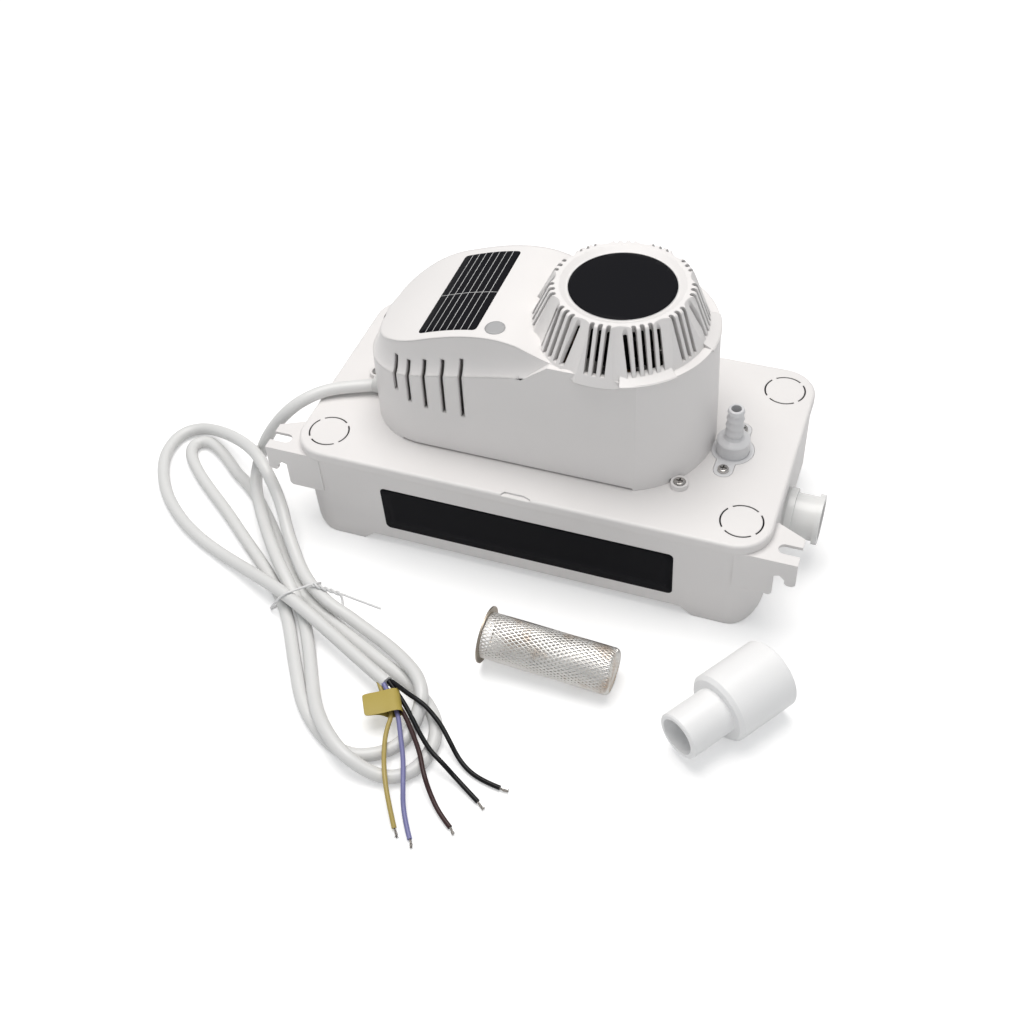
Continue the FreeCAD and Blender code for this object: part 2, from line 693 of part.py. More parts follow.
def make_inlet_seal():
    outer = rod((TANK_HX, INLET_Y, INLET_Z), (1, 0, 0), INLET_SEAL, INLET_COLLAR_R - 0.4)
    return outer.cut(rod((TANK_HX - 1, INLET_Y, INLET_Z), (1, 0, 0), INLET_SEAL + 2, INLET_R))


def make_inlet_nut():
    x = TANK_HX - TANK_WALL - INLET_NUT
    corners = []
    for i in range(7):
        angle = math.radians(60 * i)
        across = INLET_NUT_R * math.cos(angle)
        corners.append(V(x, INLET_Y + across, INLET_Z + INLET_NUT_R * math.sin(angle)))
    hexagon = Part.Face(Part.makePolygon(corners)).extrude(V(INLET_NUT, 0, 0))
    return hexagon.cut(rod((x - 1, INLET_Y, INLET_Z), (1, 0, 0), INLET_NUT + 2, INLET_R))


# Motor: shaded-pole stack on four posts, coil on one leg, straps with bearings, fan on top
def corner_places():
    return [(CAP_X + sx * POST_X, sy * POST_Y) for sx in (-1, 1) for sy in (-1, 1)]


def make_motor_posts():
    posts = []
    for x, y in corner_places():
        shape = post(x, y, LID_TOP, POST_TOP, POST_R).cut(post(x, y, LID_TOP + 3, POST_TOP + 1, SCREW_R))
        posts.append(shape)
    return Part.makeCompound(posts)


def make_stator():
    far = CAP_X - LEG_REACH
    block = box(CAP_X - STACK_X, CAP_X + STACK_X, -STACK_Y, STACK_Y, STACK_LOW, STACK_TOP)
    frame = box(far, CAP_X, -STACK_Y, STACK_Y, STACK_LOW, STACK_TOP)
    inner = STACK_Y - YOKE
    window = box(far + LEG, CAP_X - STACK_X, -inner, inner, STACK_LOW - 1, STACK_TOP + 1)
    bore = post(CAP_X, 0, STACK_LOW - 1, STACK_TOP + 1, ROTOR_R + AIR_GAP)
    holes = [post(x, y, STACK_LOW - 1, STACK_TOP + 1, SCREW_R + 0.3) for x, y in corner_places()]
    return block.fuse(frame).cut([window, bore] + holes).removeSplitter()


def make_coil():
    gap = 0.3
    x0 = CAP_X - LEG_REACH - gap
    x1 = x0 + LEG + 2 * gap
    half = STACK_Y - YOKE - gap
    low = STACK_LOW - COIL_THICK
    body = box(x0 - COIL_THICK, x1 + COIL_THICK, -half, half, low, STACK_TOP + COIL_THICK)
    uprights = [e for e in body.Edges if abs(e.Vertexes[0].Y - e.Vertexes[1].Y) > 1]
    body = body.makeFillet(3.0, uprights)
    return body.cut(box(x0, x1, -half - 1, half + 1, STACK_LOW - gap, STACK_TOP + gap))


def strap(z0):
    half = STRAP_WIDTH / 2
    bar = box(CAP_X - POST_X, CAP_X + POST_X, -half, half, z0, z0 + STRAP)
    arms = []
    for sx in (-1, 1):
        x = CAP_X + sx * POST_X
        arms.append(box(x - half, x + half, -POST_Y - half, POST_Y + half, z0, z0 + STRAP))
    hub = post(CAP_X, 0, z0, z0 + STRAP, BEARING_R + 3)
    cuts = [post(CAP_X, 0, z0 - 1, z0 + STRAP + 1, BEARING_R)]
    cuts += [post(x, y, z0 - 1, z0 + STRAP + 1, SCREW_R + 0.3) for x, y in corner_places()]
    return fuse([bar, hub] + arms).cut(cuts)


def bearing(z0, z1):
    return ring(CAP_X, 0, z0, z1, BEARING_R, SHAFT_R + RUN_CLEARANCE)


def make_motor_screws():
    seat = STACK_TOP + STRAP
    length = seat - LID_TOP - 4
    return Part.makeCompound([screw(x, y, seat, SCREW_R, length) for x, y in corner_places()])


def make_rotor():
    return ring(CAP_X, 0, STACK_LOW + 0.8, STACK_TOP - 0.8, ROTOR_R, SHAFT_R)


def make_shaft():
    return post(CAP_X, 0, IMPELLER_LOW, SHAFT_TOP, SHAFT_R)


def make_fan():
    hub = post(CAP_X, 0, FAN_LOW, FAN_LOW + FAN_HEIGHT, FAN_HUB_R)
    disc = post(CAP_X, 0, FAN_LOW, FAN_LOW + 1.5, FAN_R * 0.55)
    blades = []
    for i in range(FAN_BLADES):
        blade = Part.makeBox(FAN_R - FAN_HUB_R + 1, 1.4, FAN_HEIGHT - 1, V(FAN_HUB_R - 1, 0, 0))
        blade.rotate(V(FAN_HUB_R, 0, 0), V(0, 0, 1), 24)
        blade.translate(V(CAP_X, 0, FAN_LOW + 0.5))
        blade.rotate(V(CAP_X, 0, 0), V(0, 0, 1), i * 360.0 / FAN_BLADES)
        blades.append(blade)
    limit = post(CAP_X, 0, FAN_LOW, FAN_LOW + FAN_HEIGHT, FAN_R)
    bore = post(CAP_X, 0, FAN_LOW - 1, SHAFT_TOP + 5, SHAFT_R)
    return fuse([hub, disc] + blades).common(limit).cut(bore).removeSplitter()


def make_slinger():
    low = SLINGER_Z
    points = [(SHAFT_R, low), (SLINGER_R, low), (SLINGER_R, low + 1), (SHAFT_R + 2, low + 4)]
    points += [(SHAFT_R, low + 4)]
    return revolve(points, CAP_X, 0)


# Pump: column from the lid down to the volute, cover plate with the eye, open impeller
def make_column():
    column = ring(CAP_X, 0, VOLUTE_TOP, LID_TOP, COLUMN_R, COLUMN_BORE)
    flange = ring(CAP_X, 0, LID_UNDER - 3, LID_UNDER, COLUMN_HOLE + 4, COLUMN_BORE)
    foot = ring(CAP_X, 0, VOLUTE_TOP, VOLUTE_TOP + 2.5, COLUMN_R + 5, COLUMN_BORE)
    drains = [rod((CAP_X - 20, 0, 45), (1, 0, 0), 40, 2.5), rod((CAP_X, -20, 45), (0, 1, 0), 40, 2.5)]
    return fuse([column, flange, foot]).cut(drains)


def volute_wire(grow, z):
    points = []
    for i in range(9):
        angle = math.radians(-90 + i * 45)
        r = VOLUTE_R - 3.5 + 3.5 * i / 8 + grow
        points.append(V(CAP_X + r * math.cos(angle), r * math.sin(angle), z))
    curve = Part.BSplineCurve()
    curve.interpolate(points)
    return Part.Wire([curve.toShape(), Part.makeLine(points[-1], points[0])])


def make_volute():
    outer = Part.Face(volute_wire(0, VOLUTE_LOW)).extrude(V(0, 0, VOLUTE_TOP - VOLUTE_LOW))
    inner_low = VOLUTE_LOW - 1
    deep = VOLUTE_TOP - VOLUTE_WALL - inner_low
    inner = Part.Face(volute_wire(-VOLUTE_WALL, inner_low)).extrude(V(0, 0, deep))
    outlet_y = -(VOLUTE_R - OUTLET_R - 1.0)
    z = outlet_height()
    reach = VOLUTE_R + OUTLET_STUB
    outlet = rod((CAP_X, outlet_y, z), (1, 0, 0), reach, OUTLET_R)
    bore = rod((CAP_X, outlet_y, z), (1, 0, 0), reach + 1, OUTLET_BORE)
    shaft_hole = post(CAP_X, 0, VOLUTE_LOW, VOLUTE_TOP + 1, COLUMN_BORE - 1)
    return outer.fuse(outlet).cut([inner, bore, shaft_hole]).removeSplitter()


def outlet_height():
    return (VOLUTE_LOW + VOLUTE_TOP) / 2 + 0.5


def make_intake():
    thick = VOLUTE_WALL
    plate = Part.Face(volute_wire(0, VOLUTE_LOW - thick)).extrude(V(0, 0, thick))
    eye = post(CAP_X, 0, VOLUTE_LOW - thick - 1, VOLUTE_LOW + 1, EYE_R)
    feet = []
    for i in range(4):
        angle = math.radians(45 + 90 * i)
        x = CAP_X + 17 * math.cos(angle)
        y = 17 * math.sin(angle)
        feet.append(post(x, y, FOOT_HEIGHT + TANK_WALL, VOLUTE_LOW - thick, 2.5))
    return plate.cut(eye).fuse(feet)


def make_impeller():
    hub = post(CAP_X, 0, IMPELLER_LOW, IMPELLER_TOP, 5)
    disc = post(CAP_X, 0, IMPELLER_TOP - 1.6, IMPELLER_TOP, IMPELLER_R)
    vanes = []
    for i in range(IMPELLER_VANES):
        radius = IMPELLER_R * 0.75
        curve = ring(radius, 0, IMPELLER_LOW, IMPELLER_TOP, radius, radius - VANE_THICK)
        curve = curve.common(box(-1, 2 * radius + 1, 0, radius + 1, IMPELLER_LOW, IMPELLER_TOP))
        curve.rotate(V(0, 0, 0), V(0, 0, 1), i * 360.0 / IMPELLER_VANES)
        curve.translate(V(CAP_X, 0, 0))
        vanes.append(curve)
    limit = post(CAP_X, 0, IMPELLER_LOW, IMPELLER_TOP, IMPELLER_R)
    bore = post(CAP_X, 0, IMPELLER_LOW, IMPELLER_TOP + 1, SHAFT_R)
    return fuse([hub, disc] + vanes).common(limit).cut(bore).removeSplitter()


def make_discharge_tube():
    y = -(VOLUTE_R - OUTLET_R - 1.0)
    z = outlet_height()
    start = CAP_X + VOLUTE_R + OUTLET_STUB
    path = [V(start, y, z), V(VALVE_X - TUBE_STEP, y, z)]
    path += [V(VALVE_X, VALVE_Y, z + TUBE_RISE), V(VALVE_X, VALVE_Y, VALVE_BODY_LOW)]
    return tube_along(path, OUTLET_R, TUBE_BEND).cut(tube_along(path, OUTLET_BORE, TUBE_BEND))


# Float and switches
def make_pivot_bracket():
    low = PIVOT_Z - 4
    cheeks = []
    for side in (-1, 1):
        y0 = side * (CHEEK_Y + CHEEK / 2) - CHEEK / 2
        cheeks.append(box(PIVOT_X - 5, PIVOT_X + 5, y0, y0 + CHEEK, low, LID_UNDER))
    web = box(PIVOT_X + 5, PIVOT_X + 7, -CHEEK_Y - CHEEK, CHEEK_Y + CHEEK, low, LID_UNDER)
    pin = rod((PIVOT_X, -CHEEK_Y - CHEEK - 1, PIVOT_Z), (0, 1, 0), 2 * (CHEEK_Y + CHEEK + 1), PIN_R)
    return fuse(cheeks + [web]).cut(pin)


def make_pivot_pin():
    start = (PIVOT_X, -CHEEK_Y - CHEEK - 0.5, PIVOT_Z)
    return rod(start, (0, 1, 0), 2 * (CHEEK_Y + CHEEK + 0.5), PIN_R)


def make_float_arm():
    float_top = FLOAT_LOW + FLOAT_HEIGHT
    eye = rod((PIVOT_X, -ARM_WIDTH / 2, PIVOT_Z), (0, 1, 0), ARM_WIDTH, PIN_R + 2.2)
    half = ARM_THICK / 2
    beam = [(PIVOT_X, PIVOT_Z + half), (PIVOT_X, PIVOT_Z - half), (FLOAT_X + 8, float_top)]
    beam += [(FLOAT_X - 10, float_top), (FLOAT_X - 10, float_top + ARM_THICK)]
    beam += [(FLOAT_X + 6, float_top + ARM_THICK)]
    arm = polygon_xz(beam, -ARM_WIDTH / 2, ARM_WIDTH / 2)
    top = FINGER_TOP - 2
    finger = [(PIVOT_X - 1, PIVOT_Z - 1), (PIVOT_X - 1, PIVOT_Z + 2.5), (FINGER_X + 2, top - 4)]
    finger += [(FINGER_X + 2, top), (FINGER_X - 1, top), (FINGER_X - 1, top - 6)]
    neck = polygon_xz(finger, -ARM_WIDTH / 2, ARM_WIDTH / 2)
    bar = rod((FINGER_X + 0.5, -CHEEK_Y - 4, FINGER_TOP - 1.5), (0, 1, 0), 2 * (CHEEK_Y + 4), 1.5)
    hole = rod((PIVOT_X, -ARM_WIDTH, PIVOT_Z), (0, 1, 0), 2 * ARM_WIDTH, PIN_R + RUN_CLEARANCE)
    return fuse([eye, arm, neck, bar]).cut(hole).removeSplitter()


def make_float():
    hx = FLOAT_LENGTH / 2
    hy = FLOAT_WIDTH / 2
    block = box(FLOAT_X - hx, FLOAT_X + hx, -hy, hy, FLOAT_LOW, FLOAT_LOW + FLOAT_HEIGHT)
    uprights = [e for e in block.Edges if abs(e.Vertexes[0].Z - e.Vertexes[1].Z) > 1]
    return block.makeFillet(4.0, uprights)


def make_switch_bracket():
    x0 = SWITCH_X - SWITCH_LENGTH / 2
    x1 = SWITCH_X + SWITCH_LENGTH / 2
    half = SWITCH_WEB / 2
    wide = BRACKET_HALF
    web = box(x0 + 3, x1 + 2, -half, half, SWITCH_Z, SWITCH_Z + SWITCH_HEIGHT)
    riser = box(x1 + 0.5, x1 + 2, -wide, wide, LID_TOP, SWITCH_Z + 3)
    foot = box(x1 + 0.5, x1 + 12, -wide, wide, LID_TOP, LID_TOP + 1.5)
    return fuse([web, riser, foot])


def make_switch(y):
    x0 = SWITCH_X - SWITCH_LENGTH / 2
    half = SWITCH_WIDTH / 2
    top = SWITCH_Z + SWITCH_HEIGHT
    body = box(x0, x0 + SWITCH_LENGTH, y - half, y + half, SWITCH_Z, top)
    tags = [box(x0 + 3 + i * 9, x0 + 9 + i * 9, y - 0.3, y + 0.3, top, top + 7) for i in range(3)]
    x = LEVER_PIVOT_X
    lug = box(x - 2, x + 2, y - LUG_HALF, y + LUG_HALF, LEVER_TOP - 2.2, SWITCH_Z)
    gap = TONGUE_HALF + 0.3
    lug = lug.cut(box(x - 3, x + 3, y - gap, y + gap, LEVER_TOP - 3, LEVER_TOP + 1.2))
    lug = lug.cut(lever_pin(y, LEVER_PIN_R + RUN_CLEARANCE))
    return fuse([body, lug] + tags)


def lever_pin(y, r):
    start = (LEVER_PIVOT_X, y - LUG_HALF, LEVER_TOP - LEVER_THICK / 2)
    return rod(start, (0, 1, 0), 2 * LUG_HALF, r)


def make_lever(y):
    half = SWITCH_WIDTH / 2 - 0.8
    x1 = LEVER_PIVOT_X
    low = LEVER_TOP - LEVER_THICK
    blade = box(x1 - LEVER_LENGTH, x1 - 3, y - half, y + half, low, LEVER_TOP)
    tongue = box(x1 - 4, x1, y - TONGUE_HALF, y + TONGUE_HALF, low, LEVER_TOP)
    return fuse([blade, tongue, lever_pin(y, LEVER_PIN_R)])


# Cable, cores, gland, tag and tie
CABLE_ROUTE = [(-104, -13, 74.2), (-119, -17.5, 73.8), (-133.5, -25.5, 73.4), (-147, -36, 71.5)]
CABLE_ROUTE += [(-157.5, -44, 63.5), (-165.5, -48.5, 52), (-172.5, -50, 39), (-178.5, -53, 27)]
CABLE_ROUTE += [(-179.5, -61.5, 17.5), (-173.5, -73, 12.8), (-162.5, -86.5, 11.9), (-149.5, -101, 12)]
CABLE_ROUTE += [(-136.5, -115, 11.9), (-123.8, -129.5, 12)]
TAIL_ROUTE = [(-113.5, -137.2, 12), (-95, -144.5, 12), (-76, -152.5, 12), (-60, -162, 12), (-44, -174, 12)]
CORE_YELLOW = [(-45.4, -175.8, 12), (-38.8, -184, 10.4), (-30.6, -191.4, 9.4), (-29.6, -201.8, 9.4)]
CORE_YELLOW += [(-26.6, -212, 9.4), (-20.5, -226, 9.9), (-13.3, -238.8, 7.4), (-4.9, -251, 1.6)]
CORE_VIOLET = [(-44.4, -174.6, 14.2), (-36.3, -182.1, 11.9), (-27.6, -190.7, 9.6), (-21.2, -202.8, 9.4)]
CORE_VIOLET += [(-14, -215.6, 9.5), (-8.3, -229.5, 9.4), (-3.5, -242.5, 3.2), (5, -254.3, 1.6)]
CORE_BROWN = [(-44.4, -174.6, 9.8), (-35, -181.2, 9.5), (-24.4, -189.7, 9.4), (-16.4, -198.6, 9.4)]
CORE_BROWN += [(-6.9, -210.1, 9.7), (-0.6, -220.8, 9.1), (6, -228.6, 4.2), (14.3, -236.6, 1.8)]
CORE_BROWN += [(21.8, -241.7, 1.6)]
CORE_BLACK_SHORT = [(-42.9, -172.5, 13.4), (-31.1, -180.1, 10.6), (-20, -190.2, 9.4), (-12.5, -198.1, 9.5)]
CORE_BLACK_SHORT += [(-2.3, -207.3, 9.9), (6.5, -211.6, 8.4), (15.5, -215.2, 2.6), (29.8, -223.4, 1.6)]
CORE_BLACK_LONG = [(-42.9, -172.5, 10.7), (-35.5, -173.9, 10.4), (-28.7, -176.4, 9.9), (-15.9, -181.4, 9.5)]
CORE_BLACK_LONG += [(-4.3, -188.5, 9.9), (4.6, -196.6, 9.0), (10.5, -203, 4.6), (22, -208.6, 1.8)]
CORE_BLACK_LONG += [(37.5, -211.9, 1.6)]
CORE_ROUTES = {"core_yellow": CORE_YELLOW, "core_violet": CORE_VIOLET, "core_brown": CORE_BROWN,
               "core_black_short": CORE_BLACK_SHORT, "core_black_long": CORE_BLACK_LONG}
UPPER_LOBE = [(-109.3, -125.5), (-121, -112), (-138, -93), (-157, -70), (-175, -49), (-193, -31)]
UPPER_LOBE += [(-215, -17), (-238, -13), (-256, -22), (-260, -44), (-248, -71), (-222, -95)]
UPPER_LOBE += [(-186, -116), (-158, -127), (-138, -135.5), (-122.7, -146.1)]
LOWER_LOBE = [(-127.5, -143), (-115, -168), (-98, -192), (-82, -210), (-64, -223), (-38, -230)]
LOWER_LOBE += [(-18, -230), (-4, -223), (1.5, -208), (1, -194), (-9, -180), (-25, -166)]
LOWER_LOBE += [(-44, -154), (-68, -142), (-98, -129.5), (-114, -122.5)]
WAIST = (-118.5, -134.5)
WAIST_TURN = -34.0


def turn_angle(a, b, c):
    first = b.sub(a)
    second = c.sub(b)
    return first.getAngle(second)


def arc_radius(a, b, c, share=0.45):
    shorter = min(b.sub(a).Length, c.sub(b).Length)
    return share * shorter / math.tan(turn_angle(a, b, c) / 2)


def route_wire(points, radius=None):
    edges = []
    start = points[0]
    for i in range(1, len(points) - 1):
        a, b, c = points[i - 1], points[i], points[i + 1]
        half = turn_angle(a, b, c) / 2
        r = radius if radius else arc_radius(a, b, c)
        back = a.sub(b).normalize()
        on = c.sub(b).normalize()
        leave = b.add(FreeCAD.Vector(back).multiply(r * math.tan(half)))
        join = b.add(FreeCAD.Vector(on).multiply(r * math.tan(half)))
        toward = FreeCAD.Vector(back).add(on).normalize()
        middle = b.add(toward.multiply(r / math.cos(half) - r))
        edges.append(Part.LineSegment(start, leave).toShape())
        edges.append(Part.Arc(leave, middle, join).toShape())
        start = join
    edges.append(Part.LineSegment(start, points[-1]).toShape())
    return Part.Wire(edges)


def tube_along(points, r, radius=None):
    wire = route_wire(points, radius)
    start = points[0]
    circle = Part.Wire(Part.makeCircle(r, start, points[1].sub(start)))
    return wire.makePipeShell([circle], True, False)


def cord(name, route, diameter):
    points = [V(*p) for p in route]
    radii = [round(arc_radius(*points[i:i + 3]), 1) for i in range(len(points) - 2)]
    wire = route_wire(points)
    tube = tube_along(points, diameter / 2)
    ideal = math.pi * diameter ** 2 / 4 * wire.Length
    ratio = round(tube.Volume / ideal, 4)
    print(name, "length", round(wire.Length, 1), "volume ratio", ratio, "radii", radii)
    return tube


def lobe(points):
    curve = Part.BSplineCurve()
    curve.interpolate([V(x, y, 0) for x, y in points])
    loop = Part.Wire([curve.toShape(), Part.makeLine(V(*points[-1], 0), V(*points[0], 0))])
    return Part.Face(loop).extrude(V(0, 0, HANK_LAYER))


def at_waist(shape):
    shape.rotate(V(0, 0, 0), V(0, 0, 1), WAIST_TURN)
    shape.translate(V(*WAIST, 0))
    return shape


def make_hank():
    pad = at_waist(box(-7, 7, -12, 12, HANK_LAYER - 1, 2 * HANK_LAYER))
    return fuse([lobe(UPPER_LOBE), lobe(LOWER_LOBE), pad])


def make_cores(sheath):
    cores = {}
    for name, route in CORE_ROUTES.items():
        cores[name] = cord(name, route, CORE_D).cut(sheath)
    return cores


def make_core_tips(cores):
    tips = []
    for name, route in CORE_ROUTES.items():
        a, b = V(*route[-2]), V(*route[-1])
        way = b.sub(a)
        way.z = 0
        way.normalize()
        tips.append(Part.makeCylinder(0.9, 6.5, b, way).cut(cores[name]))
    return Part.makeCompound(tips)


def make_tag(cores):
    outline = [(-49, -188), (-33.5, -178), (-25.5, -190.5), (-40.5, -200)]
    tag = polygon_xy(outline, TAG_Z, TAG_Z + TAG_THICK)
    for core in cores.values():
        tag = tag.cut(core)
    return tag


def make_tie():
    half = 15.5
    top = 2 * HANK_LAYER + 1.2
    band = box(-1, 1, -half, half, 0, top).cut(box(-2, 2, -half + 1, half - 1, -1, top - 1))
    band = at_waist(band)
    end = [V(-110.6, -122.8, top - 0.6), V(-92, -127, 12), V(-66, -130, 10)]
    return band.fuse(tube_along(end, 0.8)).removeSplitter()


def make_gland():
    r = CABLE_D / 2
    axis = (-1, 0.0, 0)
    collar = rod((GLAND_X + 4, GLAND_Y, GLAND_Z), axis, 6, GLAND_HOLE_R - 0.1)
    return collar.cut(rod((GLAND_X + 6, GLAND_Y, GLAND_Z), axis, 12, r))


# Loose accessories lying in front of the tank
def lay(shape, x, y, turn, height, tilt=0.0):
    shape.rotate(V(0, 0, 0), V(0, 1, 0), 90 + tilt)
    shape.rotate(V(0, 0, 0), V(0, 0, 1), turn)
    shape.translate(V(x, y, height))
    return shape


def strainer_tilt():
    return math.degrees(math.asin((STRAINER_FLANGE_R - STRAINER_R) / STRAINER_LENGTH))


def strainer_place(shape):
    return lay(shape, STRAINER_X, STRAINER_Y, STRAINER_TURN, STRAINER_FLANGE_R, strainer_tilt())


def make_strainer_basket():
    tube = ring(0, 0, 0, STRAINER_LENGTH, STRAINER_R, STRAINER_R - STRAINER_WALL)
    end = post(0, 0, STRAINER_LENGTH - STRAINER_WALL, STRAINER_LENGTH, STRAINER_R)
    return strainer_place(tube.fuse(end).removeSplitter())


def make_strainer_flange():
    flange = ring(0, 0, -STRAINER_WALL, 0, STRAINER_FLANGE_R, STRAINER_R - STRAINER_WALL)
    return strainer_place(flange)


def make_reducer():
    big = REDUCER_BIG_LENGTH
    whole = big + REDUCER_SMALL_LENGTH
    wide, narrow = REDUCER_R, REDUCER_SMALL_R
    points = [(wide - REDUCER_WALL, 0), (wide - 0.8, 0), (wide, 0.8), (wide, big - 2), (wide - 2, big)]
    points += [(narrow, big), (narrow, whole - 0.8), (narrow - 0.8, whole)]
    points += [(narrow - REDUCER_WALL, whole), (narrow - REDUCER_WALL, big - REDUCER_WALL)]
    points += [(wide - REDUCER_WALL, big - REDUCER_WALL)]
    return lay(revolve(points, 0, 0), REDUCER_X, REDUCER_Y, REDUCER_TURN, REDUCER_R)


def build():
    sheath_end = cord("cable_tail", TAIL_ROUTE, CABLE_D)
    cores = make_cores(sheath_end)
    nodes = {
        "tank": make_tank(),
        "ear_right": make_ear(1),
        "ear_left": make_ear(-1),
        "tank_lid": make_lid(),
        "lid_seal": make_lid_seal(),
        "motor_cover": make_cover(),
        "cover_screws": make_cover_screws(),
        "discharge_barb": make_barb(),
        "valve_retainer": make_valve_plate(),
        "valve_screws": make_valve_screws(),
        "check_valve_body": make_valve_body(),
        "check_valve_ball": make_ball(),
        "inlet_fitting": make_inlet(),
        "inlet_seal": make_inlet_seal(),
        "inlet_nut": make_inlet_nut(),
        "motor_posts": make_motor_posts(),
        "stator_stack": make_stator(),
        "motor_coil": make_coil(),
        "lower_strap": strap(STRAP_LOW),
        "upper_strap": strap(STACK_TOP),
        "lower_bearing": bearing(STRAP_LOW - BEARING_H + STRAP, STRAP_LOW + STRAP),
        "upper_bearing": bearing(STACK_TOP, STACK_TOP + BEARING_H),
        "motor_screws": make_motor_screws(),
        "rotor": make_rotor(),
        "shaft": make_shaft(),
        "cooling_fan": make_fan(),
        "slinger": make_slinger(),
        "pump_column": make_column(),
        "volute": make_volute(),
        "intake_plate": make_intake(),
        "impeller": make_impeller(),
        "discharge_tube": make_discharge_tube(),
        "pivot_bracket": make_pivot_bracket(),
        "pivot_pin": make_pivot_pin(),
        "float_arm": make_float_arm(),
        "float": make_float(),
        "switch_bracket": make_switch_bracket(),
        "run_switch": make_switch(SWITCH_Y[0]),
        "alarm_switch": make_switch(SWITCH_Y[1]),
        "run_lever": make_lever(SWITCH_Y[0]),
        "alarm_lever": make_lever(SWITCH_Y[1]),
        "cable_gland": make_gland(),
        "cable_lead": cord("cable_lead", CABLE_ROUTE, CABLE_D),
        "cable_hank": make_hank(),
        "cable_tail": sheath_end,
        "core_tips": make_core_tips(cores),
        "cable_tag": make_tag(cores),
        "cable_tie": make_tie(),
        "strainer_basket": make_strainer_basket(),
        "strainer_flange": make_strainer_flange(),
        "reducer": make_reducer(),
    }
    nodes.update(cores)
    return nodes


os.makedirs("parts", exist_ok=True)
for node, shape in build().items():
    if not shape.isValid():
        print("not valid:", node)
    shape.exportStep("parts/" + node + ".step")
    print(node, len(shape.Solids), round(shape.Volume, 1))
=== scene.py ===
import math

import bmesh
import bpy
from mathutils import Matrix, Vector
from mathutils.bvhtree import BVHTree


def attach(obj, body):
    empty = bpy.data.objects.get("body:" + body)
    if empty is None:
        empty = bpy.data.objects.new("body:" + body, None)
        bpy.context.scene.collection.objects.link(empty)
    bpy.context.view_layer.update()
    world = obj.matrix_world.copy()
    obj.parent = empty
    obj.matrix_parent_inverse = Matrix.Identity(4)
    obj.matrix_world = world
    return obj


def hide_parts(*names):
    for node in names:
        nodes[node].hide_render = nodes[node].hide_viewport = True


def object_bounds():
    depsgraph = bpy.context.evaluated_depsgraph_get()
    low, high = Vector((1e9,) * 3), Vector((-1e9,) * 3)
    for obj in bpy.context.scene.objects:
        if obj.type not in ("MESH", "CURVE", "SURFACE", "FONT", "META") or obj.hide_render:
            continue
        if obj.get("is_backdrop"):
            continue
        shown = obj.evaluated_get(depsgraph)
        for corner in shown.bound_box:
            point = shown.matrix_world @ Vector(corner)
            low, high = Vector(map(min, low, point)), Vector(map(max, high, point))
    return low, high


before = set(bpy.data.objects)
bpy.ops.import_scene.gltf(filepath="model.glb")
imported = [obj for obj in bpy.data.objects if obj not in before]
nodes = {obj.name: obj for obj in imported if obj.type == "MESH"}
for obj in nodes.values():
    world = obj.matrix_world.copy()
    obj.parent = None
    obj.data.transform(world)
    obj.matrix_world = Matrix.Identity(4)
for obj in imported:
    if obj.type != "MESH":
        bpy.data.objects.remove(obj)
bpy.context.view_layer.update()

# Tank: an injection-moulded box of cream white plastic with two feet and a slotted ear
# at each front corner. Its surface has the fine dull grain of an untouched mould, its
# edges are slightly rounded, and its corners and slots are darkened with painted shade.
grain = bpy.data.node_groups.new("moulded grain", "ShaderNodeTree")
for side, socket, kind in (
    ("INPUT", "Colour", "NodeSocketColor"),
    ("INPUT", "Gloss", "NodeSocketFloat"),
    ("INPUT", "Grain scale", "NodeSocketFloat"),
    ("OUTPUT", "Colour", "NodeSocketColor"),
    ("OUTPUT", "Roughness", "NodeSocketFloat"),
    ("OUTPUT", "Height", "NodeSocketFloat"),
):
    grain.interface.new_socket(socket, in_out=side, socket_type=kind)
put = grain.nodes.new("NodeGroupInput")
out = grain.nodes.new("NodeGroupOutput")
place = grain.nodes.new("ShaderNodeTexCoord")
cloud = grain.nodes.new("ShaderNodeTexNoise")
cloud.inputs["Scale"].default_value = 22.0
cloud.inputs["Detail"].default_value = 3.0
grit = grain.nodes.new("ShaderNodeTexNoise")
grit.inputs["Detail"].default_value = 4.0
shade = grain.nodes.new("ShaderNodeMapRange")
shade.inputs["To Min"].default_value = 0.965
shade.inputs["To Max"].default_value = 1.02
tint = grain.nodes.new("ShaderNodeVectorMath")
tint.operation = "SCALE"
dull = grain.nodes.new("ShaderNodeMapRange")
dull.inputs["To Min"].default_value = -0.05
dull.inputs["To Max"].default_value = 0.05
gloss = grain.nodes.new("ShaderNodeMath")
for a, b in (
    (place.outputs["Object"], cloud.inputs["Vector"]),
    (place.outputs["Object"], grit.inputs["Vector"]),
    (put.outputs["Grain scale"], grit.inputs["Scale"]),
    (cloud.outputs["Fac"], shade.inputs["Value"]),
    (put.outputs["Colour"], tint.inputs[0]),
    (shade.outputs["Result"], tint.inputs["Scale"]),
    (tint.outputs["Vector"], out.inputs["Colour"]),
    (grit.outputs["Fac"], dull.inputs["Value"]),
    (put.outputs["Gloss"], gloss.inputs[0]),
    (dull.outputs["Result"], gloss.inputs[1]),
    (gloss.outputs["Value"], out.inputs["Roughness"]),
    (grit.outputs["Fac"], out.inputs["Height"]),
):
    grain.links.new(a, b)


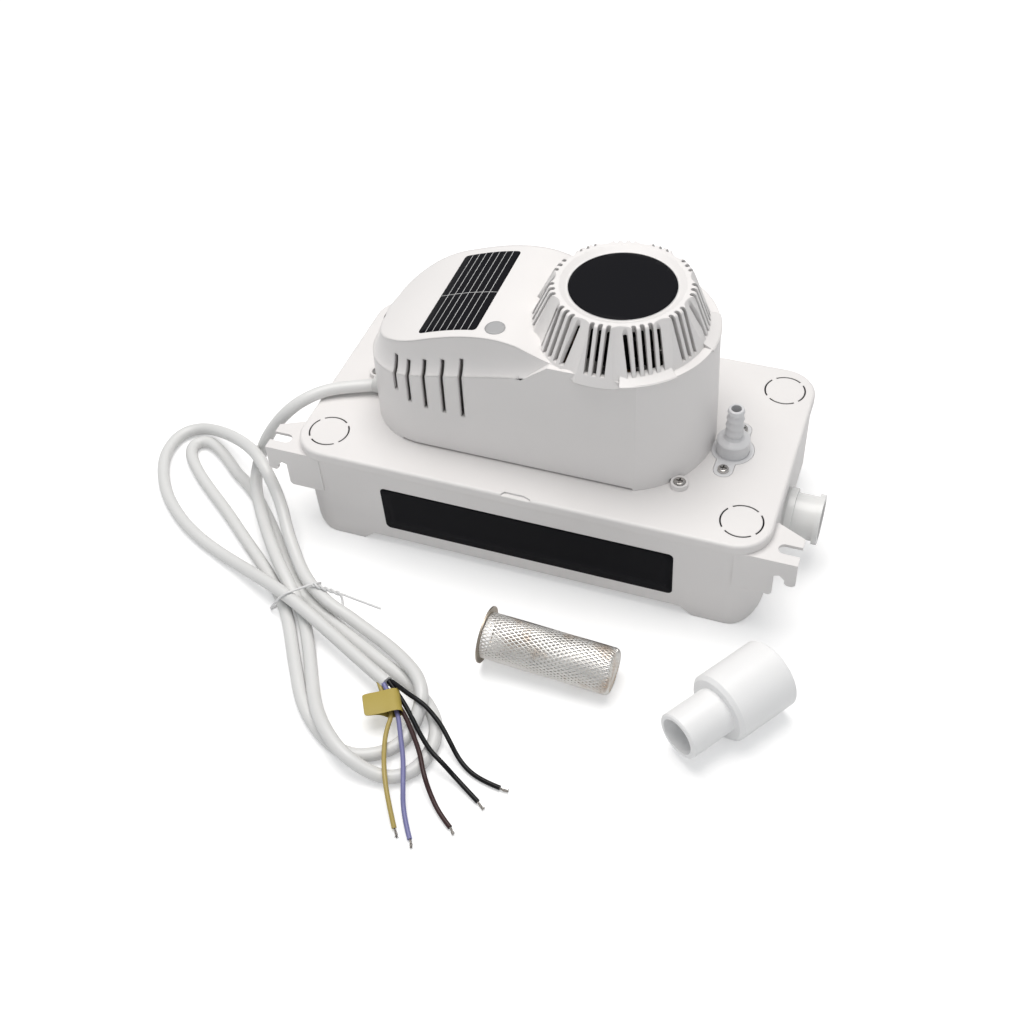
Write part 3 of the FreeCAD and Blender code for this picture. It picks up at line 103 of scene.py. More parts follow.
def moulded(name, colour, roughness, grain_scale=900.0, depth=0.00003, metallic=0.0, shine=0.5):
    """A finish with the fine grain that a mould, a rolling mill or a coating leaves."""
    finish = bpy.data.materials.new(name)
    finish.use_nodes = True
    tree = finish.node_tree
    body = tree.nodes["Principled BSDF"]
    body.inputs["Metallic"].default_value = metallic
    body.inputs["Specular IOR Level"].default_value = shine
    skin = tree.nodes.new("ShaderNodeGroup")
    skin.node_tree = grain
    skin.inputs["Colour"].default_value = (*colour, 1)
    skin.inputs["Gloss"].default_value = roughness
    skin.inputs["Grain scale"].default_value = grain_scale
    bump = tree.nodes.new("ShaderNodeBump")
    bump.inputs["Distance"].default_value = depth
    tree.links.new(skin.outputs["Colour"], body.inputs["Base Color"])
    tree.links.new(skin.outputs["Roughness"], body.inputs["Roughness"])
    tree.links.new(skin.outputs["Height"], bump.inputs["Height"])
    tree.links.new(bump.outputs["Normal"], body.inputs["Normal"])
    return finish


def dress(finish, *names):
    for name in names:
        for slot in nodes[name].material_slots:
            slot.material = finish


def sum_of(tree, kind, a, b=None):
    """One maths node on two sockets or numbers."""
    node = tree.nodes.new("ShaderNodeMath")
    node.operation = kind
    for i, value in enumerate((a, b)):
        if isinstance(value, bpy.types.NodeSocket):
            tree.links.new(value, node.inputs[i])
        elif value is not None:
            node.inputs[i].default_value = value
    return node.outputs["Value"]


cream_colour, cream_gloss = (0.82, 0.80, 0.79), 0.42
edge_radius, hump_more = 0.0008, 0.0016
hump_right, hump_low = -0.004, 0.085
cream = moulded("cream white", cream_colour, cream_gloss)
tree = cream.node_tree
place = tree.nodes.new("ShaderNodeTexCoord")
at = tree.nodes.new("ShaderNodeSeparateXYZ")
tree.links.new(place.outputs["Object"], at.inputs["Vector"])
left_part = sum_of(tree, "LESS_THAN", at.outputs["X"], hump_right)
upper_part = sum_of(tree, "GREATER_THAN", at.outputs["Z"], hump_low)
more = sum_of(tree, "MULTIPLY", sum_of(tree, "MULTIPLY", left_part, upper_part), hump_more)
edge_round = tree.nodes.new("ShaderNodeBevel")
edge_round.samples = 6
tree.links.new(sum_of(tree, "ADD", more, edge_radius), edge_round.inputs["Radius"])
tree.links.new(edge_round.outputs["Normal"], tree.nodes["Bump"].inputs["Normal"])

# Painted shade: a group that darkens a colour where ambient occlusion finds the surface closed
# in.
hollow = bpy.data.node_groups.new("painted hollow shade", "ShaderNodeTree")
for side, socket, kind in (
    ("INPUT", "Colour", "NodeSocketColor"),
    ("INPUT", "Reach", "NodeSocketFloat"),
    ("INPUT", "Deepest", "NodeSocketFloat"),
    ("OUTPUT", "Colour", "NodeSocketColor"),
):
    hollow.interface.new_socket(socket, in_out=side, socket_type=kind)
put = hollow.nodes.new("NodeGroupInput")
out = hollow.nodes.new("NodeGroupOutput")
closed_in = hollow.nodes.new("ShaderNodeAmbientOcclusion")
closed_in.samples = 8
closed_in.only_local = True
shade = hollow.nodes.new("ShaderNodeMapRange")
shade.inputs["From Min"].default_value = 0.08
shade.inputs["From Max"].default_value = 0.55
painted_shade_scale = hollow.nodes.new("ShaderNodeVectorMath")
painted_shade_scale.operation = "SCALE"
for a, b in (
    (put.outputs["Reach"], closed_in.inputs["Distance"]),
    (closed_in.outputs["AO"], shade.inputs["Value"]),
    (put.outputs["Deepest"], shade.inputs["To Min"]),
    (put.outputs["Colour"], painted_shade_scale.inputs[0]),
    (shade.outputs["Result"], painted_shade_scale.inputs["Scale"]),
    (painted_shade_scale.outputs["Vector"], out.inputs["Colour"]),
):
    hollow.links.new(a, b)


def with_painted_shade(finish, reach, deepest):
    """The same finish, its colour darkened in slots and corners as painted shade."""
    tree = finish.node_tree
    painted_shade_node = tree.nodes.new("ShaderNodeGroup")
    painted_shade_node.node_tree = hollow
    painted_shade_node.inputs["Reach"].default_value = reach
    painted_shade_node.inputs["Deepest"].default_value = deepest
    colour_to = tree.nodes["Principled BSDF"].inputs["Base Color"]
    tree.links.new(colour_to.links[0].from_socket, painted_shade_node.inputs["Colour"])
    tree.links.new(painted_shade_node.outputs["Colour"], colour_to)
    return finish


# Painted shade on the cream, which tank, lid and motor cover share: darker in slots, corners and
# creases.
with_painted_shade(cream, reach=0.004, deepest=0.03)
dress(cream, "tank")
dress(moulded("ear white", cream_colour, cream_gloss), "ear_right", "ear_left")

# Front label: a long satin black film with rounded corners, stuck on the tank's front
# face and left plain.
film_black, ink_and_highlight_grey = (0.007, 0.007, 0.009), (0.62, 0.62, 0.62, 1)
mm = 1000


def placed(name, data):
    piece = bpy.data.objects.new(name, data)
    bpy.context.scene.collection.objects.link(piece)
    return piece


def rounded(half_u, half_v, corner, steps=10):
    """The outline of a rectangle with round corners."""
    points = []
    for quarter, (side_u, side_v) in enumerate(((1, 1), (-1, 1), (-1, -1), (1, -1))):
        for i in range(steps + 1):
            a = math.radians(90 * quarter + 90 * i / steps)
            u = side_u * (half_u - corner) + corner * math.cos(a)
            v = side_v * (half_v - corner) + corner * math.sin(a)
            points.append((u, v))
    return points


def film(name, host, outline, ray_from, along, step=0.004, lift=0.00016, skin=0.00013):
    """A film of that outline, dropped on the host's surface along a direction.

    It is first cut into squares of that step, so that it can follow a curve. Its map is in mm.
    """
    bm = bmesh.new()
    bm.faces.new([bm.verts.new((u, v, 0)) for u, v in outline])
    sliver = 0.0005
    for k in (0, 1):
        reach = max(abs(p[k]) for p in outline)
        cut = -reach + step
        while cut < reach - sliver:
            spot, normal = Vector((0, 0, 0)), Vector((0, 0, 0))
            spot[k], normal[k] = cut, 1
            everything = bm.verts[:] + bm.edges[:] + bm.faces[:]
            bmesh.ops.bisect_plane(bm, geom=everything, plane_co=spot, plane_no=normal)
            cut += step
    uv = bm.loops.layers.uv.new("film")
    for face in bm.faces:
        for loop in face.loops:
            loop[uv].uv = (loop.vert.co.x * mm, loop.vert.co.y * mm)
    ground = host.data
    corners = [v.co for v in ground.vertices]
    surface = BVHTree.FromPolygons(corners, [p.vertices for p in ground.polygons])
    along = Vector(along)
    for v in bm.verts:
        hit = surface.ray_cast(ray_from(v.co.x, v.co.y), along)[0]
        v.co = hit - along * lift
    bmesh.ops.recalc_face_normals(bm, faces=bm.faces)
    if sum(f.normal.dot(along) for f in bm.faces) > 0:
        bmesh.ops.reverse_faces(bm, faces=bm.faces)
    mesh = bpy.data.meshes.new(name)
    bm.to_mesh(mesh)
    bm.free()
    for p in mesh.polygons:
        p.use_smooth = True
    piece = placed(name, mesh)
    body = piece.modifiers.new("film", "SOLIDIFY")
    body.thickness = skin
    body.offset = -1
    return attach(piece, "housing")


def printed(name, line=0.0, rows=(), columns=(), ring=None):
    """Satin black film. Pale printed lines, and one pale ring painted as a highlight along the
    film's edge, are given in mm from the film's middle.
    """
    finish = moulded(name, film_black, 0.5, grain_scale=2500.0, depth=0.000008, shine=0.06)
    if not line:
        return finish
    tree = finish.node_tree
    body = tree.nodes["Principled BSDF"]
    where = tree.nodes.new("ShaderNodeUVMap")
    where.uv_map = "film"
    at = tree.nodes.new("ShaderNodeSeparateXYZ")
    tree.links.new(where.outputs["UV"], at.inputs["Vector"])
    off = [sum_of(tree, "SUBTRACT", at.outputs["X"], spot) for spot in rows]
    off += [sum_of(tree, "SUBTRACT", at.outputs["Y"], spot) for spot in columns]
    if ring:
        squares = [sum_of(tree, "MULTIPLY", at.outputs[axis], at.outputs[axis]) for axis in "XY"]
        from_middle = sum_of(tree, "SQRT", sum_of(tree, "ADD", *squares))
        off.append(sum_of(tree, "SUBTRACT", from_middle, ring))
    mask = 0.0
    for distance in off:
        on_line = sum_of(tree, "LESS_THAN", sum_of(tree, "ABSOLUTE", distance), line)
        mask = sum_of(tree, "MAXIMUM", mask, on_line)
    ink_and_highlight = tree.nodes.new("ShaderNodeMix")
    ink_and_highlight.data_type = "RGBA"
    ink_and_highlight.inputs[7].default_value = ink_and_highlight_grey
    tree.links.new(body.inputs["Base Color"].links[0].from_socket, ink_and_highlight.inputs[6])
    tree.links.new(mask, ink_and_highlight.inputs["Factor"])
    tree.links.new(ink_and_highlight.outputs[2], body.inputs["Base Color"])
    return finish


label_u, label_v, label_corner = 0.0878, 0.0168, 0.003
label_x, label_z, before_tank = 0.0024, 0.0321, -0.3
front_label = film(
    "front_label", nodes["tank"], rounded(label_u, label_v, label_corner),
    lambda u, v: Vector((label_x + u, before_tank, label_z + v)), (0, 1, 0), step=0.008,
)
front_label.data.materials.append(printed("front label"))

# Lid: a moulding of the same white, held down by its snug skirt over the tank's rim, with
# four round knock-outs and a finger notch. A soft seal lies under it.
dress(cream, "tank_lid")
soft_black = moulded("seal rubber", (0.02, 0.02, 0.02), 0.62)
dress(soft_black, "lid_seal")

# Motor, pump and level control, fixed to the lid: cast and pressed metal, a taped
# winding, bronze bearings, and moulded pump parts, float and switches.
aluminium = moulded("cast aluminium", (0.62, 0.63, 0.65), 0.45, grain_scale=500.0, metallic=1.0)
dress(aluminium, "motor_posts", "rotor")
drawn = {"grain_scale": 1500.0, "depth": 0.00001, "metallic": 1.0}
steel = moulded("bright steel", (0.66, 0.65, 0.63), 0.26, **drawn)
dress(steel, "motor_screws", "shaft", "lower_strap", "upper_strap")
dress(steel, "pivot_pin", "run_lever", "alarm_lever")
lamination = moulded("lamination", (0.16, 0.16, 0.17), 0.5, grain_scale=1600.0, metallic=0.8)
dress(lamination, "stator_stack")
dress(moulded("winding tape", (0.09, 0.05, 0.03), 0.5), "motor_coil")
bronze = moulded("bearing bronze", (0.55, 0.36, 0.16), 0.4, metallic=1.0)
dress(bronze, "lower_bearing", "upper_bearing")
pump_grey = moulded("pump grey", (0.35, 0.36, 0.37), 0.45)
dress(pump_grey, "pump_column", "volute", "intake_plate", "impeller", "slinger")
dress(pump_grey, "discharge_tube", "check_valve_body")
dress(pump_grey, "pivot_bracket", "float_arm", "switch_bracket")
dress(moulded("float white", (0.7, 0.7, 0.7), 0.5), "float")
switch_black = moulded("switch black", (0.03, 0.028, 0.027), 0.42)
dress(switch_black, "run_switch", "alarm_switch", "cooling_fan")

# Motor cover: one moulding with a low hump, louvres and a fluted, vented cap, held by two
# cross-head screws. The hump carries the rating plate, with ruled lines, and a small
# round disc; the cap a round film with a pale ring near its edge, a painted highlight.
dress(cream, "motor_cover")
screw_steel = moulded("screw steel", (0.56, 0.54, 0.52), 0.22, **drawn)
# Painted shade darkens the screws' cross recesses.
dress(with_painted_shade(screw_steel, reach=0.0016, deepest=0.02), "cover_screws", "valve_screws")
above_cover, down = 0.3, (0, 0, -1)
plate_u, plate_v, plate_corner, plate_x = 0.01725, 0.0367, 0.0022, -0.04895
rating = film(
    "rating_plate", nodes["motor_cover"], rounded(plate_u, plate_v, plate_corner),
    lambda u, v: Vector((plate_x + u, v, above_cover)), down,
)
row_pitch, column_at = 4.2, -2.5
ruled = [row_pitch * k for k in range(-3, 4)]
rating.data.materials.append(printed("rating plate", line=0.17, rows=ruled, columns=(column_at,)))
cap_r, cap_x = 0.0295, 0.0388
cap_film = film(
    "cap_film", nodes["motor_cover"], rounded(cap_r, cap_r, cap_r, steps=24),
    lambda u, v: Vector((cap_x + u, v, above_cover)), down,
)
# The pale ring at 29.3 mm is a painted highlight along the cap film's edge.
cap_film.data.materials.append(printed("cap film", line=0.3, ring=29.3))
disc_r, disc_x, disc_y = 0.0056, -0.0219, -0.033
disc = film(
    "hump_disc", nodes["motor_cover"], rounded(disc_r, disc_r, disc_r),
    lambda u, v: Vector((disc_x + u, disc_y + v, above_cover)), down, step=0.002,
)
disc.data.materials.append(moulded("disc grey", (0.40, 0.40, 0.405), 0.38, depth=0.000008))

# Outlet: a stepped barb with a round collar on the check valve, and the plate that keeps
# it, both moulded in light grey. The valve's ball is black rubber.
light_grey = moulded("light grey", (0.72, 0.72, 0.73), 0.36)
# Painted shade darkens the light grey in its hollows and creases.
with_painted_shade(light_grey, reach=0.002, deepest=0.35)
dress(light_grey, "discharge_barb", "valve_retainer")
dress(soft_black, "check_valve_ball")

# Inlet: a glossy white flanged stub through the tank's end, held by a nut and a soft
# white seal inside. The cable's grommet is of the same soft white.
gloss_white = moulded("inlet white", (0.80, 0.80, 0.79), 0.24)
dress(gloss_white, "inlet_fitting", "inlet_nut")
dress(moulded("grommet white", (0.66, 0.66, 0.65), 0.55), "cable_gland", "inlet_seal")

# Supply cable: a round white sheath on five cores, out of the cover, wound in a loose
# figure of eight with two loops above the tie and two below it.
cable_d, cable_length = 0.0076, 1.62
route = [
    (-0.104, -0.013, 0.0742), (-0.124, -0.0205, 0.0738), (-0.138, -0.0275, 0.0732),
    (-0.1495, -0.038, 0.0705), (-0.1595, -0.0445, 0.062), (-0.171, -0.046, 0.046),
    (-0.1805, -0.0445, 0.028), (-0.183, -0.0495, 0.0175), (-0.18, -0.0605, 0.013),
    (-0.1685, -0.0775, 0.012), (-0.154, -0.0955, 0.0115), (-0.139, -0.1125, 0.0115),
    (-0.126, -0.125, 0.0106), (-0.1125, -0.1375, 0.0059), (-0.105, -0.147, 0.0039),
    (-0.097, -0.1595, 0.0039), (-0.0895, -0.172, 0.0039), (-0.082, -0.185, 0.005),
    (-0.0725, -0.1995, 0.0092), (-0.0625, -0.211, 0.0118), (-0.052, -0.2195, 0.012),
    (-0.0425, -0.225, 0.0116), (-0.031, -0.227, 0.007), (-0.02, -0.2265, 0.0039),
    (-0.01, -0.221, 0.0039), (-0.0045, -0.2105, 0.0039), (-0.004, -0.1975, 0.0039),
    (-0.008, -0.186, 0.0039), (-0.016, -0.177, 0.0039), (-0.0275, -0.1695, 0.0039),
    (-0.0385, -0.1635, 0.0039), (-0.052, -0.158, 0.0039), (-0.0675, -0.151, 0.0039),
    (-0.083, -0.144, 0.0039), (-0.099, -0.1365, 0.0039), (-0.112, -0.1295, 0.0039),
    (-0.125, -0.12, 0.0039), (-0.1365, -0.108, 0.0039), (-0.1475, -0.0955, 0.0039),
    (-0.16, -0.082, 0.0039), (-0.17, -0.072, 0.0039), (-0.181, -0.0615, 0.0039),
    (-0.1925, -0.053, 0.0039), (-0.2016, -0.0478, 0.0039), (-0.2133, -0.0382, 0.0039),
    (-0.2236, -0.031, 0.0039), (-0.2328, -0.0268, 0.0039), (-0.2396, -0.0288, 0.0039),
    (-0.2416, -0.035, 0.0039), (-0.2382, -0.0422, 0.0039), (-0.23, -0.0508, 0.0039),
    (-0.2178, -0.0612, 0.0039), (-0.191, -0.0805, 0.0039), (-0.173, -0.095, 0.0039),
    (-0.1555, -0.1085, 0.0039), (-0.1405, -0.1205, 0.0039), (-0.128, -0.1325, 0.0039),
    (-0.118, -0.144, 0.0039), (-0.109, -0.1575, 0.0039), (-0.102, -0.1685, 0.0039),
    (-0.094, -0.1805, 0.0039), (-0.086, -0.1925, 0.0039), (-0.0765, -0.203, 0.0039),
    (-0.0645, -0.212, 0.0039), (-0.0525, -0.218, 0.0039), (-0.0425, -0.219, 0.0039),
    (-0.0335, -0.216, 0.0039), (-0.026, -0.211, 0.0039), (-0.0205, -0.2035, 0.0039),
    (-0.0185, -0.1935, 0.0045), (-0.018, -0.1845, 0.0088), (-0.0195, -0.1755, 0.0122),
    (-0.0265, -0.166, 0.012), (-0.0375, -0.1575, 0.01), (-0.0525, -0.1485, 0.008),
    (-0.0675, -0.1425, 0.008), (-0.082, -0.137, 0.009), (-0.095, -0.1335, 0.011),
    (-0.1095, -0.1255, 0.0116), (-0.1205, -0.1165, 0.012), (-0.1295, -0.1065, 0.0135),
    (-0.1395, -0.095, 0.017), (-0.148, -0.083, 0.022), (-0.155, -0.075, 0.0255),
    (-0.1595, -0.071, 0.0305), (-0.1655, -0.066, 0.0355), (-0.175, -0.0575, 0.0365),
    (-0.1895, -0.046, 0.0305), (-0.208, -0.0325, 0.02), (-0.2255, -0.0225, 0.0115),
    (-0.242, -0.017, 0.005), (-0.2525, -0.022, 0.0039), (-0.2565, -0.033, 0.0039),
    (-0.255, -0.0475, 0.0039), (-0.247, -0.0635, 0.0039), (-0.235, -0.079, 0.0039),
    (-0.2175, -0.0935, 0.0039), (-0.1995, -0.104, 0.0039), (-0.1815, -0.1115, 0.0039),
    (-0.1635, -0.1185, 0.006), (-0.1465, -0.126, 0.01), (-0.132, -0.132, 0.0126),
    (-0.1175, -0.138, 0.0134), (-0.101, -0.1455, 0.0127), (-0.0805, -0.1555, 0.012),
    (-0.06, -0.166, 0.012), (-0.0405, -0.1755, 0.012),
]


def add_line(curve, points, smoothness, closed=False):
    """One smooth line drawn between those points."""
    line = curve.splines.new("NURBS")
    line.points.add(len(points) - 1)
    for point, place_at in zip(line.points, points):
        point.co = (*place_at, 1)
    line.order_u = 3
    line.use_endpoint_u = not closed
    line.use_cyclic_u = closed
    line.resolution_u = smoothness


def wire(name, radius, roundness, capped=True):
    """A round wire with no line in it yet."""
    curve = bpy.data.curves.new(name, "CURVE")
    curve.dimensions = "3D"
    curve.bevel_depth = radius
    curve.bevel_resolution = roundness
    curve.use_fill_caps = capped
    return curve


def cord(name, points, diameter, finish):
    curve = wire(name, diameter / 2, roundness=5)
    add_line(curve, points, smoothness=8)
    curve.materials.append(finish)
    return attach(placed(name, curve), "housing")


sheath = moulded("sheath white", (0.76, 0.76, 0.75), 0.34, grain_scale=1400.0, depth=0.00002)
cable = cord("supply_cable", route, cable_d, sheath)
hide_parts("cable_lead", "cable_hank", "cable_tail")

# Cores: five insulated flexible wires that fan out of the sheath's end, each stripped
# to a few millimetres of frayed tinned strands.
core_d = 0.0026
cores = {
    "core_yellow": [
        (-0.0454, -0.1758, 0.012), (-0.0388, -0.184, 0.0104), (-0.0306, -0.1914, 0.0094),
        (-0.0296, -0.2018, 0.0094), (-0.0266, -0.212, 0.0094), (-0.0205, -0.226, 0.0099),
        (-0.0133, -0.2388, 0.0074), (-0.0049, -0.251, 0.0016),
    ],
    "core_violet": [
        (-0.0444, -0.1746, 0.0142), (-0.0363, -0.1821, 0.0119), (-0.0276, -0.1907, 0.0096),
        (-0.0212, -0.2028, 0.0094), (-0.014, -0.2156, 0.0095), (-0.0083, -0.2295, 0.0094),
        (-0.0035, -0.2425, 0.0032), (0.005, -0.2543, 0.0016),
    ],
    "core_brown": [
        (-0.0444, -0.1746, 0.0098), (-0.035, -0.1812, 0.0095), (-0.0244, -0.1897, 0.0094),
        (-0.0164, -0.1986, 0.0094), (-0.0069, -0.2101, 0.0097), (-0.0006, -0.2208, 0.0091),
        (0.006, -0.2286, 0.0042), (0.0143, -0.2366, 0.0018), (0.0218, -0.2417, 0.0016),
    ],
    "core_black_short": [
        (-0.0429, -0.1725, 0.0134), (-0.0311, -0.1801, 0.0106), (-0.02, -0.1902, 0.0094),
        (-0.0125, -0.1981, 0.0095), (-0.0023, -0.2073, 0.0099), (0.0065, -0.2116, 0.0084),
        (0.0155, -0.2152, 0.0026), (0.0298, -0.2234, 0.0016),
    ],
    "core_black_long": [
        (-0.0425, -0.1733, 0.0112), (-0.0387, -0.1739, 0.0125), (-0.0354, -0.1755, 0.0134),
        (-0.0308, -0.1778, 0.0141), (-0.0243, -0.1808, 0.0148), (-0.0188, -0.1827, 0.0151),
        (-0.0136, -0.1845, 0.014), (-0.008, -0.1874, 0.0119), (-0.0025, -0.1909, 0.01),
        (0.0047, -0.1973, 0.007), (0.0113, -0.2031, 0.003), (0.0198, -0.2084, 0.0016),
        (0.0299, -0.2114, 0.0016), (0.0379, -0.2123, 0.0016),
    ],
}
insulation = {
    "core_yellow": moulded("core yellow", (0.44, 0.34, 0.10), 0.35),
    "core_violet": moulded("core violet", (0.20, 0.20, 0.41), 0.35),
    "core_brown": moulded("core brown", (0.045, 0.02, 0.02), 0.33, shine=0.3),
    "core_black_short": moulded("core black", (0.005, 0.005, 0.006), 0.33, shine=0.25),
}
insulation["core_black_long"] = insulation["core_black_short"]
tinned = moulded("tinned copper", (0.42, 0.39, 0.36), 0.3, metallic=1.0)
hair_r, hair_count, hair_points = 0.00016, 7, 8
bundle_r, fray, sway_by, droop, above_floor = 0.00042, 0.00035, 0.0006, 0.0006, 0.0003
stripped, shorter_by, tucked_in = 0.0062, 0.0006, 0.001
hair_angle, core_angle, twist_angle = 60, 23, 400
for number, (name, points) in enumerate(cores.items()):
    core = cord(name.replace("core_", "wire_"), points, core_d, insulation[name])
    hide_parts(name)
    end, before = Vector(points[-1]), Vector(points[-2])
    way = (end - before).normalized()
    way.z = 0
    way.normalize()
    aside = Vector((-way.y, way.x, 0))
    strands = wire("strands_" + name, hair_r, roundness=1, capped=False)
    reach = stripped - shorter_by * (number % 3)
    for k in range(hair_count):
        hair = []
        for i in range(hair_points):
            t = i / (hair_points - 1)
            a = math.radians(hair_angle * k + core_angle * number + twist_angle * t)
            ring = (bundle_r + fray * t * t * ((k + number) % 3)) if k else 0.0
            sway = sway_by * math.sin(3 * t + number) * t
            spot = end + way * (reach * t - tucked_in) + aside * (ring * math.cos(a) + sway)
            height = spot.z + ring * math.sin(a) - droop * t
            hair.append((spot.x, spot.y, max(above_floor, height)))
        add_line(strands, hair, smoothness=4)
    strands.materials.append(tinned)
    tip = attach(placed("strands_" + name, strands), "housing")
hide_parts("core_tips")

# Flag: a bare yellow paper strip folded round three of the cores, its ends stuck
# together. It bows a little between its two long edges.
flag_mid = Vector((-0.0292, -0.1842, 0.0))
flag_along = Vector((0.0074, -0.0127, 0)).normalized()
flag_aside = Vector((flag_along.y, -flag_along.x, 0))
flag_half, flag_rows, flag_reach = 0.0074, 7, 0.0185
flag_bow, paper_thick = 0.0009, 0.00018
section = [
    (0.0198, 0.0136), (0.0135, 0.0138), (0.0085, 0.0139), (0.0055, 0.0146), (0.0025, 0.0147),
    (0.0003, 0.014), (-0.0009, 0.0122), (-0.0008, 0.0099), (0.0005, 0.0083), (0.0035, 0.0077),
    (0.0075, 0.0081), (0.0095, 0.0112), (0.0135, 0.0134), (0.0197, 0.0133),
]
bm = bmesh.new()
rows = []
for i in range(flag_rows):
    t = 2 * i / (flag_rows - 1) - 1
    bow = flag_bow * (1 - t * t)
    row = []
    for a, z in section:
        rise = Vector((0, 0, z + bow * max(0.0, a) / flag_reach))
        row.append(bm.verts.new(flag_mid + flag_along * (flag_half * t) + flag_aside * a + rise))
    rows.append(row)
for low, high in zip(rows, rows[1:]):
    for k in range(len(section) - 1):
        bm.faces.new((low[k], low[k + 1], high[k + 1], high[k]))
bmesh.ops.recalc_face_normals(bm, faces=bm.faces)
mesh = bpy.data.meshes.new("cable_flag")
bm.to_mesh(mesh)
bm.free()
for p in mesh.polygons:
    p.use_smooth = True
mesh.materials.append(moulded("flag yellow", (0.45, 0.35, 0.075), 0.55, grain_scale=700.0))
flag = placed("cable_flag", mesh)
paper = flag.modifiers.new("paper", "SOLIDIFY")
paper.thickness = paper_thick
soft = flag.modifiers.new("soft", "SUBSURF")
soft.levels = soft.render_levels = 2
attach(flag, "housing")
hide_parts("cable_tag")

# Tie: a white plastic-coated wire once round the bundle, its ends twisted together and
# left free.
tie_r = 0.0007
waist = Vector((-0.124, -0.145, 0))
across, ahead = Vector((0.5655, 0.8247, 0)), Vector((0.8247, -0.5655, 0))
upright_lean, lean_from = 0.55, 0.017
cross_lean, cross_from = 0.2, 0.007
hoop = [
    (-0.0004, 0.0007), (0.0006, 0.0065), (0.0032, 0.014), (0.0068, 0.0179),
    (0.0135, 0.018), (0.0225, 0.0169), (0.029, 0.015), (0.0294, 0.01),
    (0.0252, 0.0032), (0.0228, 0.0007), (0.011, 0.0007), (0.0024, 0.0007),
]
stem = (Vector((-0.1076, -0.1272, 0.0166)), Vector((-0.0899, -0.1274, 0.0146)))
ends = (
    ((-0.0882, -0.1293, 0.0125), (-0.0864, -0.1339, 0.009)),
    ((-0.0845, -0.1272, 0.0135), (-0.0657, -0.1268, 0.0095)),
)
twist_turns, twist_r, twist_points = 2.4, 0.0009, 15
tie = wire("twist_tie", tie_r, roundness=3)
points = []
for u, z in hoop:
    lean = upright_lean * (z - lean_from) + cross_lean * max(0.0, u - cross_from)
    points.append(waist + across * u + ahead * lean + Vector((0, 0, z)))
add_line(tie, points, smoothness=6, closed=True)
for side, free_end in enumerate(ends):
    points = []
    for k in range(twist_points):
        t = k / (twist_points - 1)
        a = 2 * math.pi * twist_turns * t + math.pi * side
        round_stem = Vector((0, twist_r * math.cos(a), twist_r * math.sin(a)))
        points.append(stem[0].lerp(stem[1], t) + round_stem)
    add_line(tie, points + list(free_end), smoothness=5)
tie.materials.append(moulded("tie white", (0.78, 0.78, 0.78), 0.4))
tie_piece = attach(placed("twist_tie", tie), "housing")
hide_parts("cable_tie")

# Strainer: a basket of expanded steel, rolled to a tube with a rounded closed end, and
# a flat flange round its mouth. It is a little tarnished and rests on flange and end.
basket_r, basket_length, shoulder = 0.0128, 0.0733, 0.0024
end_rest_r, rest_span = 0.0132, 0.0735
flange_r, mouth_at, heading = 0.0163, (0.0015, -0.1309), -1
strand_count, strand_width, strand_turn = 36, 0.00072, 0.56
wall_steps, shoulder_steps = 24, 4
tilt = math.asin((flange_r - end_rest_r) / rest_span)
lie = Matrix.Translation((*mouth_at, flange_r)) @ Matrix.Rotation(math.radians(heading), 4, "Z")
lie = lie @ Matrix.Rotation(math.pi / 2 + tilt, 4, "Y")
strand = bpy.data.curves.new("strand", "CURVE")
strand.dimensions = "3D"
profile = []
for i in range(wall_steps + 1):
    profile.append((basket_r, i / wall_steps * (basket_length - shoulder)))
for i in range(1, shoulder_steps + 1):
    a = math.radians(90 * i / shoulder_steps)
    r = basket_r - shoulder + shoulder * math.cos(a)
    profile.append((r, basket_length - shoulder + shoulder * math.sin(a)))
line = strand.splines.new("POLY")
line.points.add(len(profile) - 1)
for p, (r, z) in zip(line.points, profile):
    a = z * strand_turn / basket_r
    p.co = (r * math.cos(a), r * math.sin(a), z, 1)
weave = placed("strand", strand)

mesh_tree = bpy.data.node_groups.new("expanded mesh", "GeometryNodeTree")
sockets = mesh_tree.interface
sockets.new_socket("Geometry", in_out="INPUT", socket_type="NodeSocketGeometry")
count_in = sockets.new_socket("Strands", in_out="INPUT", socket_type="NodeSocketInt")
width_in = sockets.new_socket("Strand width", in_out="INPUT", socket_type="NodeSocketFloat")
metal_in = sockets.new_socket("Metal", in_out="INPUT", socket_type="NodeSocketMaterial")
sockets.new_socket("Geometry", in_out="OUTPUT", socket_type="NodeSocketGeometry")
put = mesh_tree.nodes.new("NodeGroupInput")
out = mesh_tree.nodes.new("NodeGroupOutput")
outline = mesh_tree.nodes.new("GeometryNodeCurvePrimitiveQuadrilateral")
sweep = mesh_tree.nodes.new("GeometryNodeCurveToMesh")
spots = mesh_tree.nodes.new("GeometryNodeMeshLine")
spots.inputs["Offset"].default_value = (0, 0, 0)
index = mesh_tree.nodes.new("GeometryNodeInputIndex")
full = mesh_tree.nodes.new("ShaderNodeMath")
full.operation = "DIVIDE"
full.inputs[0].default_value = 2 * math.pi
share = mesh_tree.nodes.new("ShaderNodeMath")
share.operation = "MULTIPLY"
turn = mesh_tree.nodes.new("ShaderNodeCombineXYZ")
other_way = mesh_tree.nodes.new("GeometryNodeTransform")
other_way.inputs["Scale"].default_value = (1, -1, 1)
flip = mesh_tree.nodes.new("GeometryNodeFlipFaces")
both = mesh_tree.nodes.new("GeometryNodeJoinGeometry")
spread = [mesh_tree.nodes.new("GeometryNodeInstanceOnPoints") for _ in range(2)]
realise = mesh_tree.nodes.new("GeometryNodeRealizeInstances")
metal = mesh_tree.nodes.new("GeometryNodeSetMaterial")
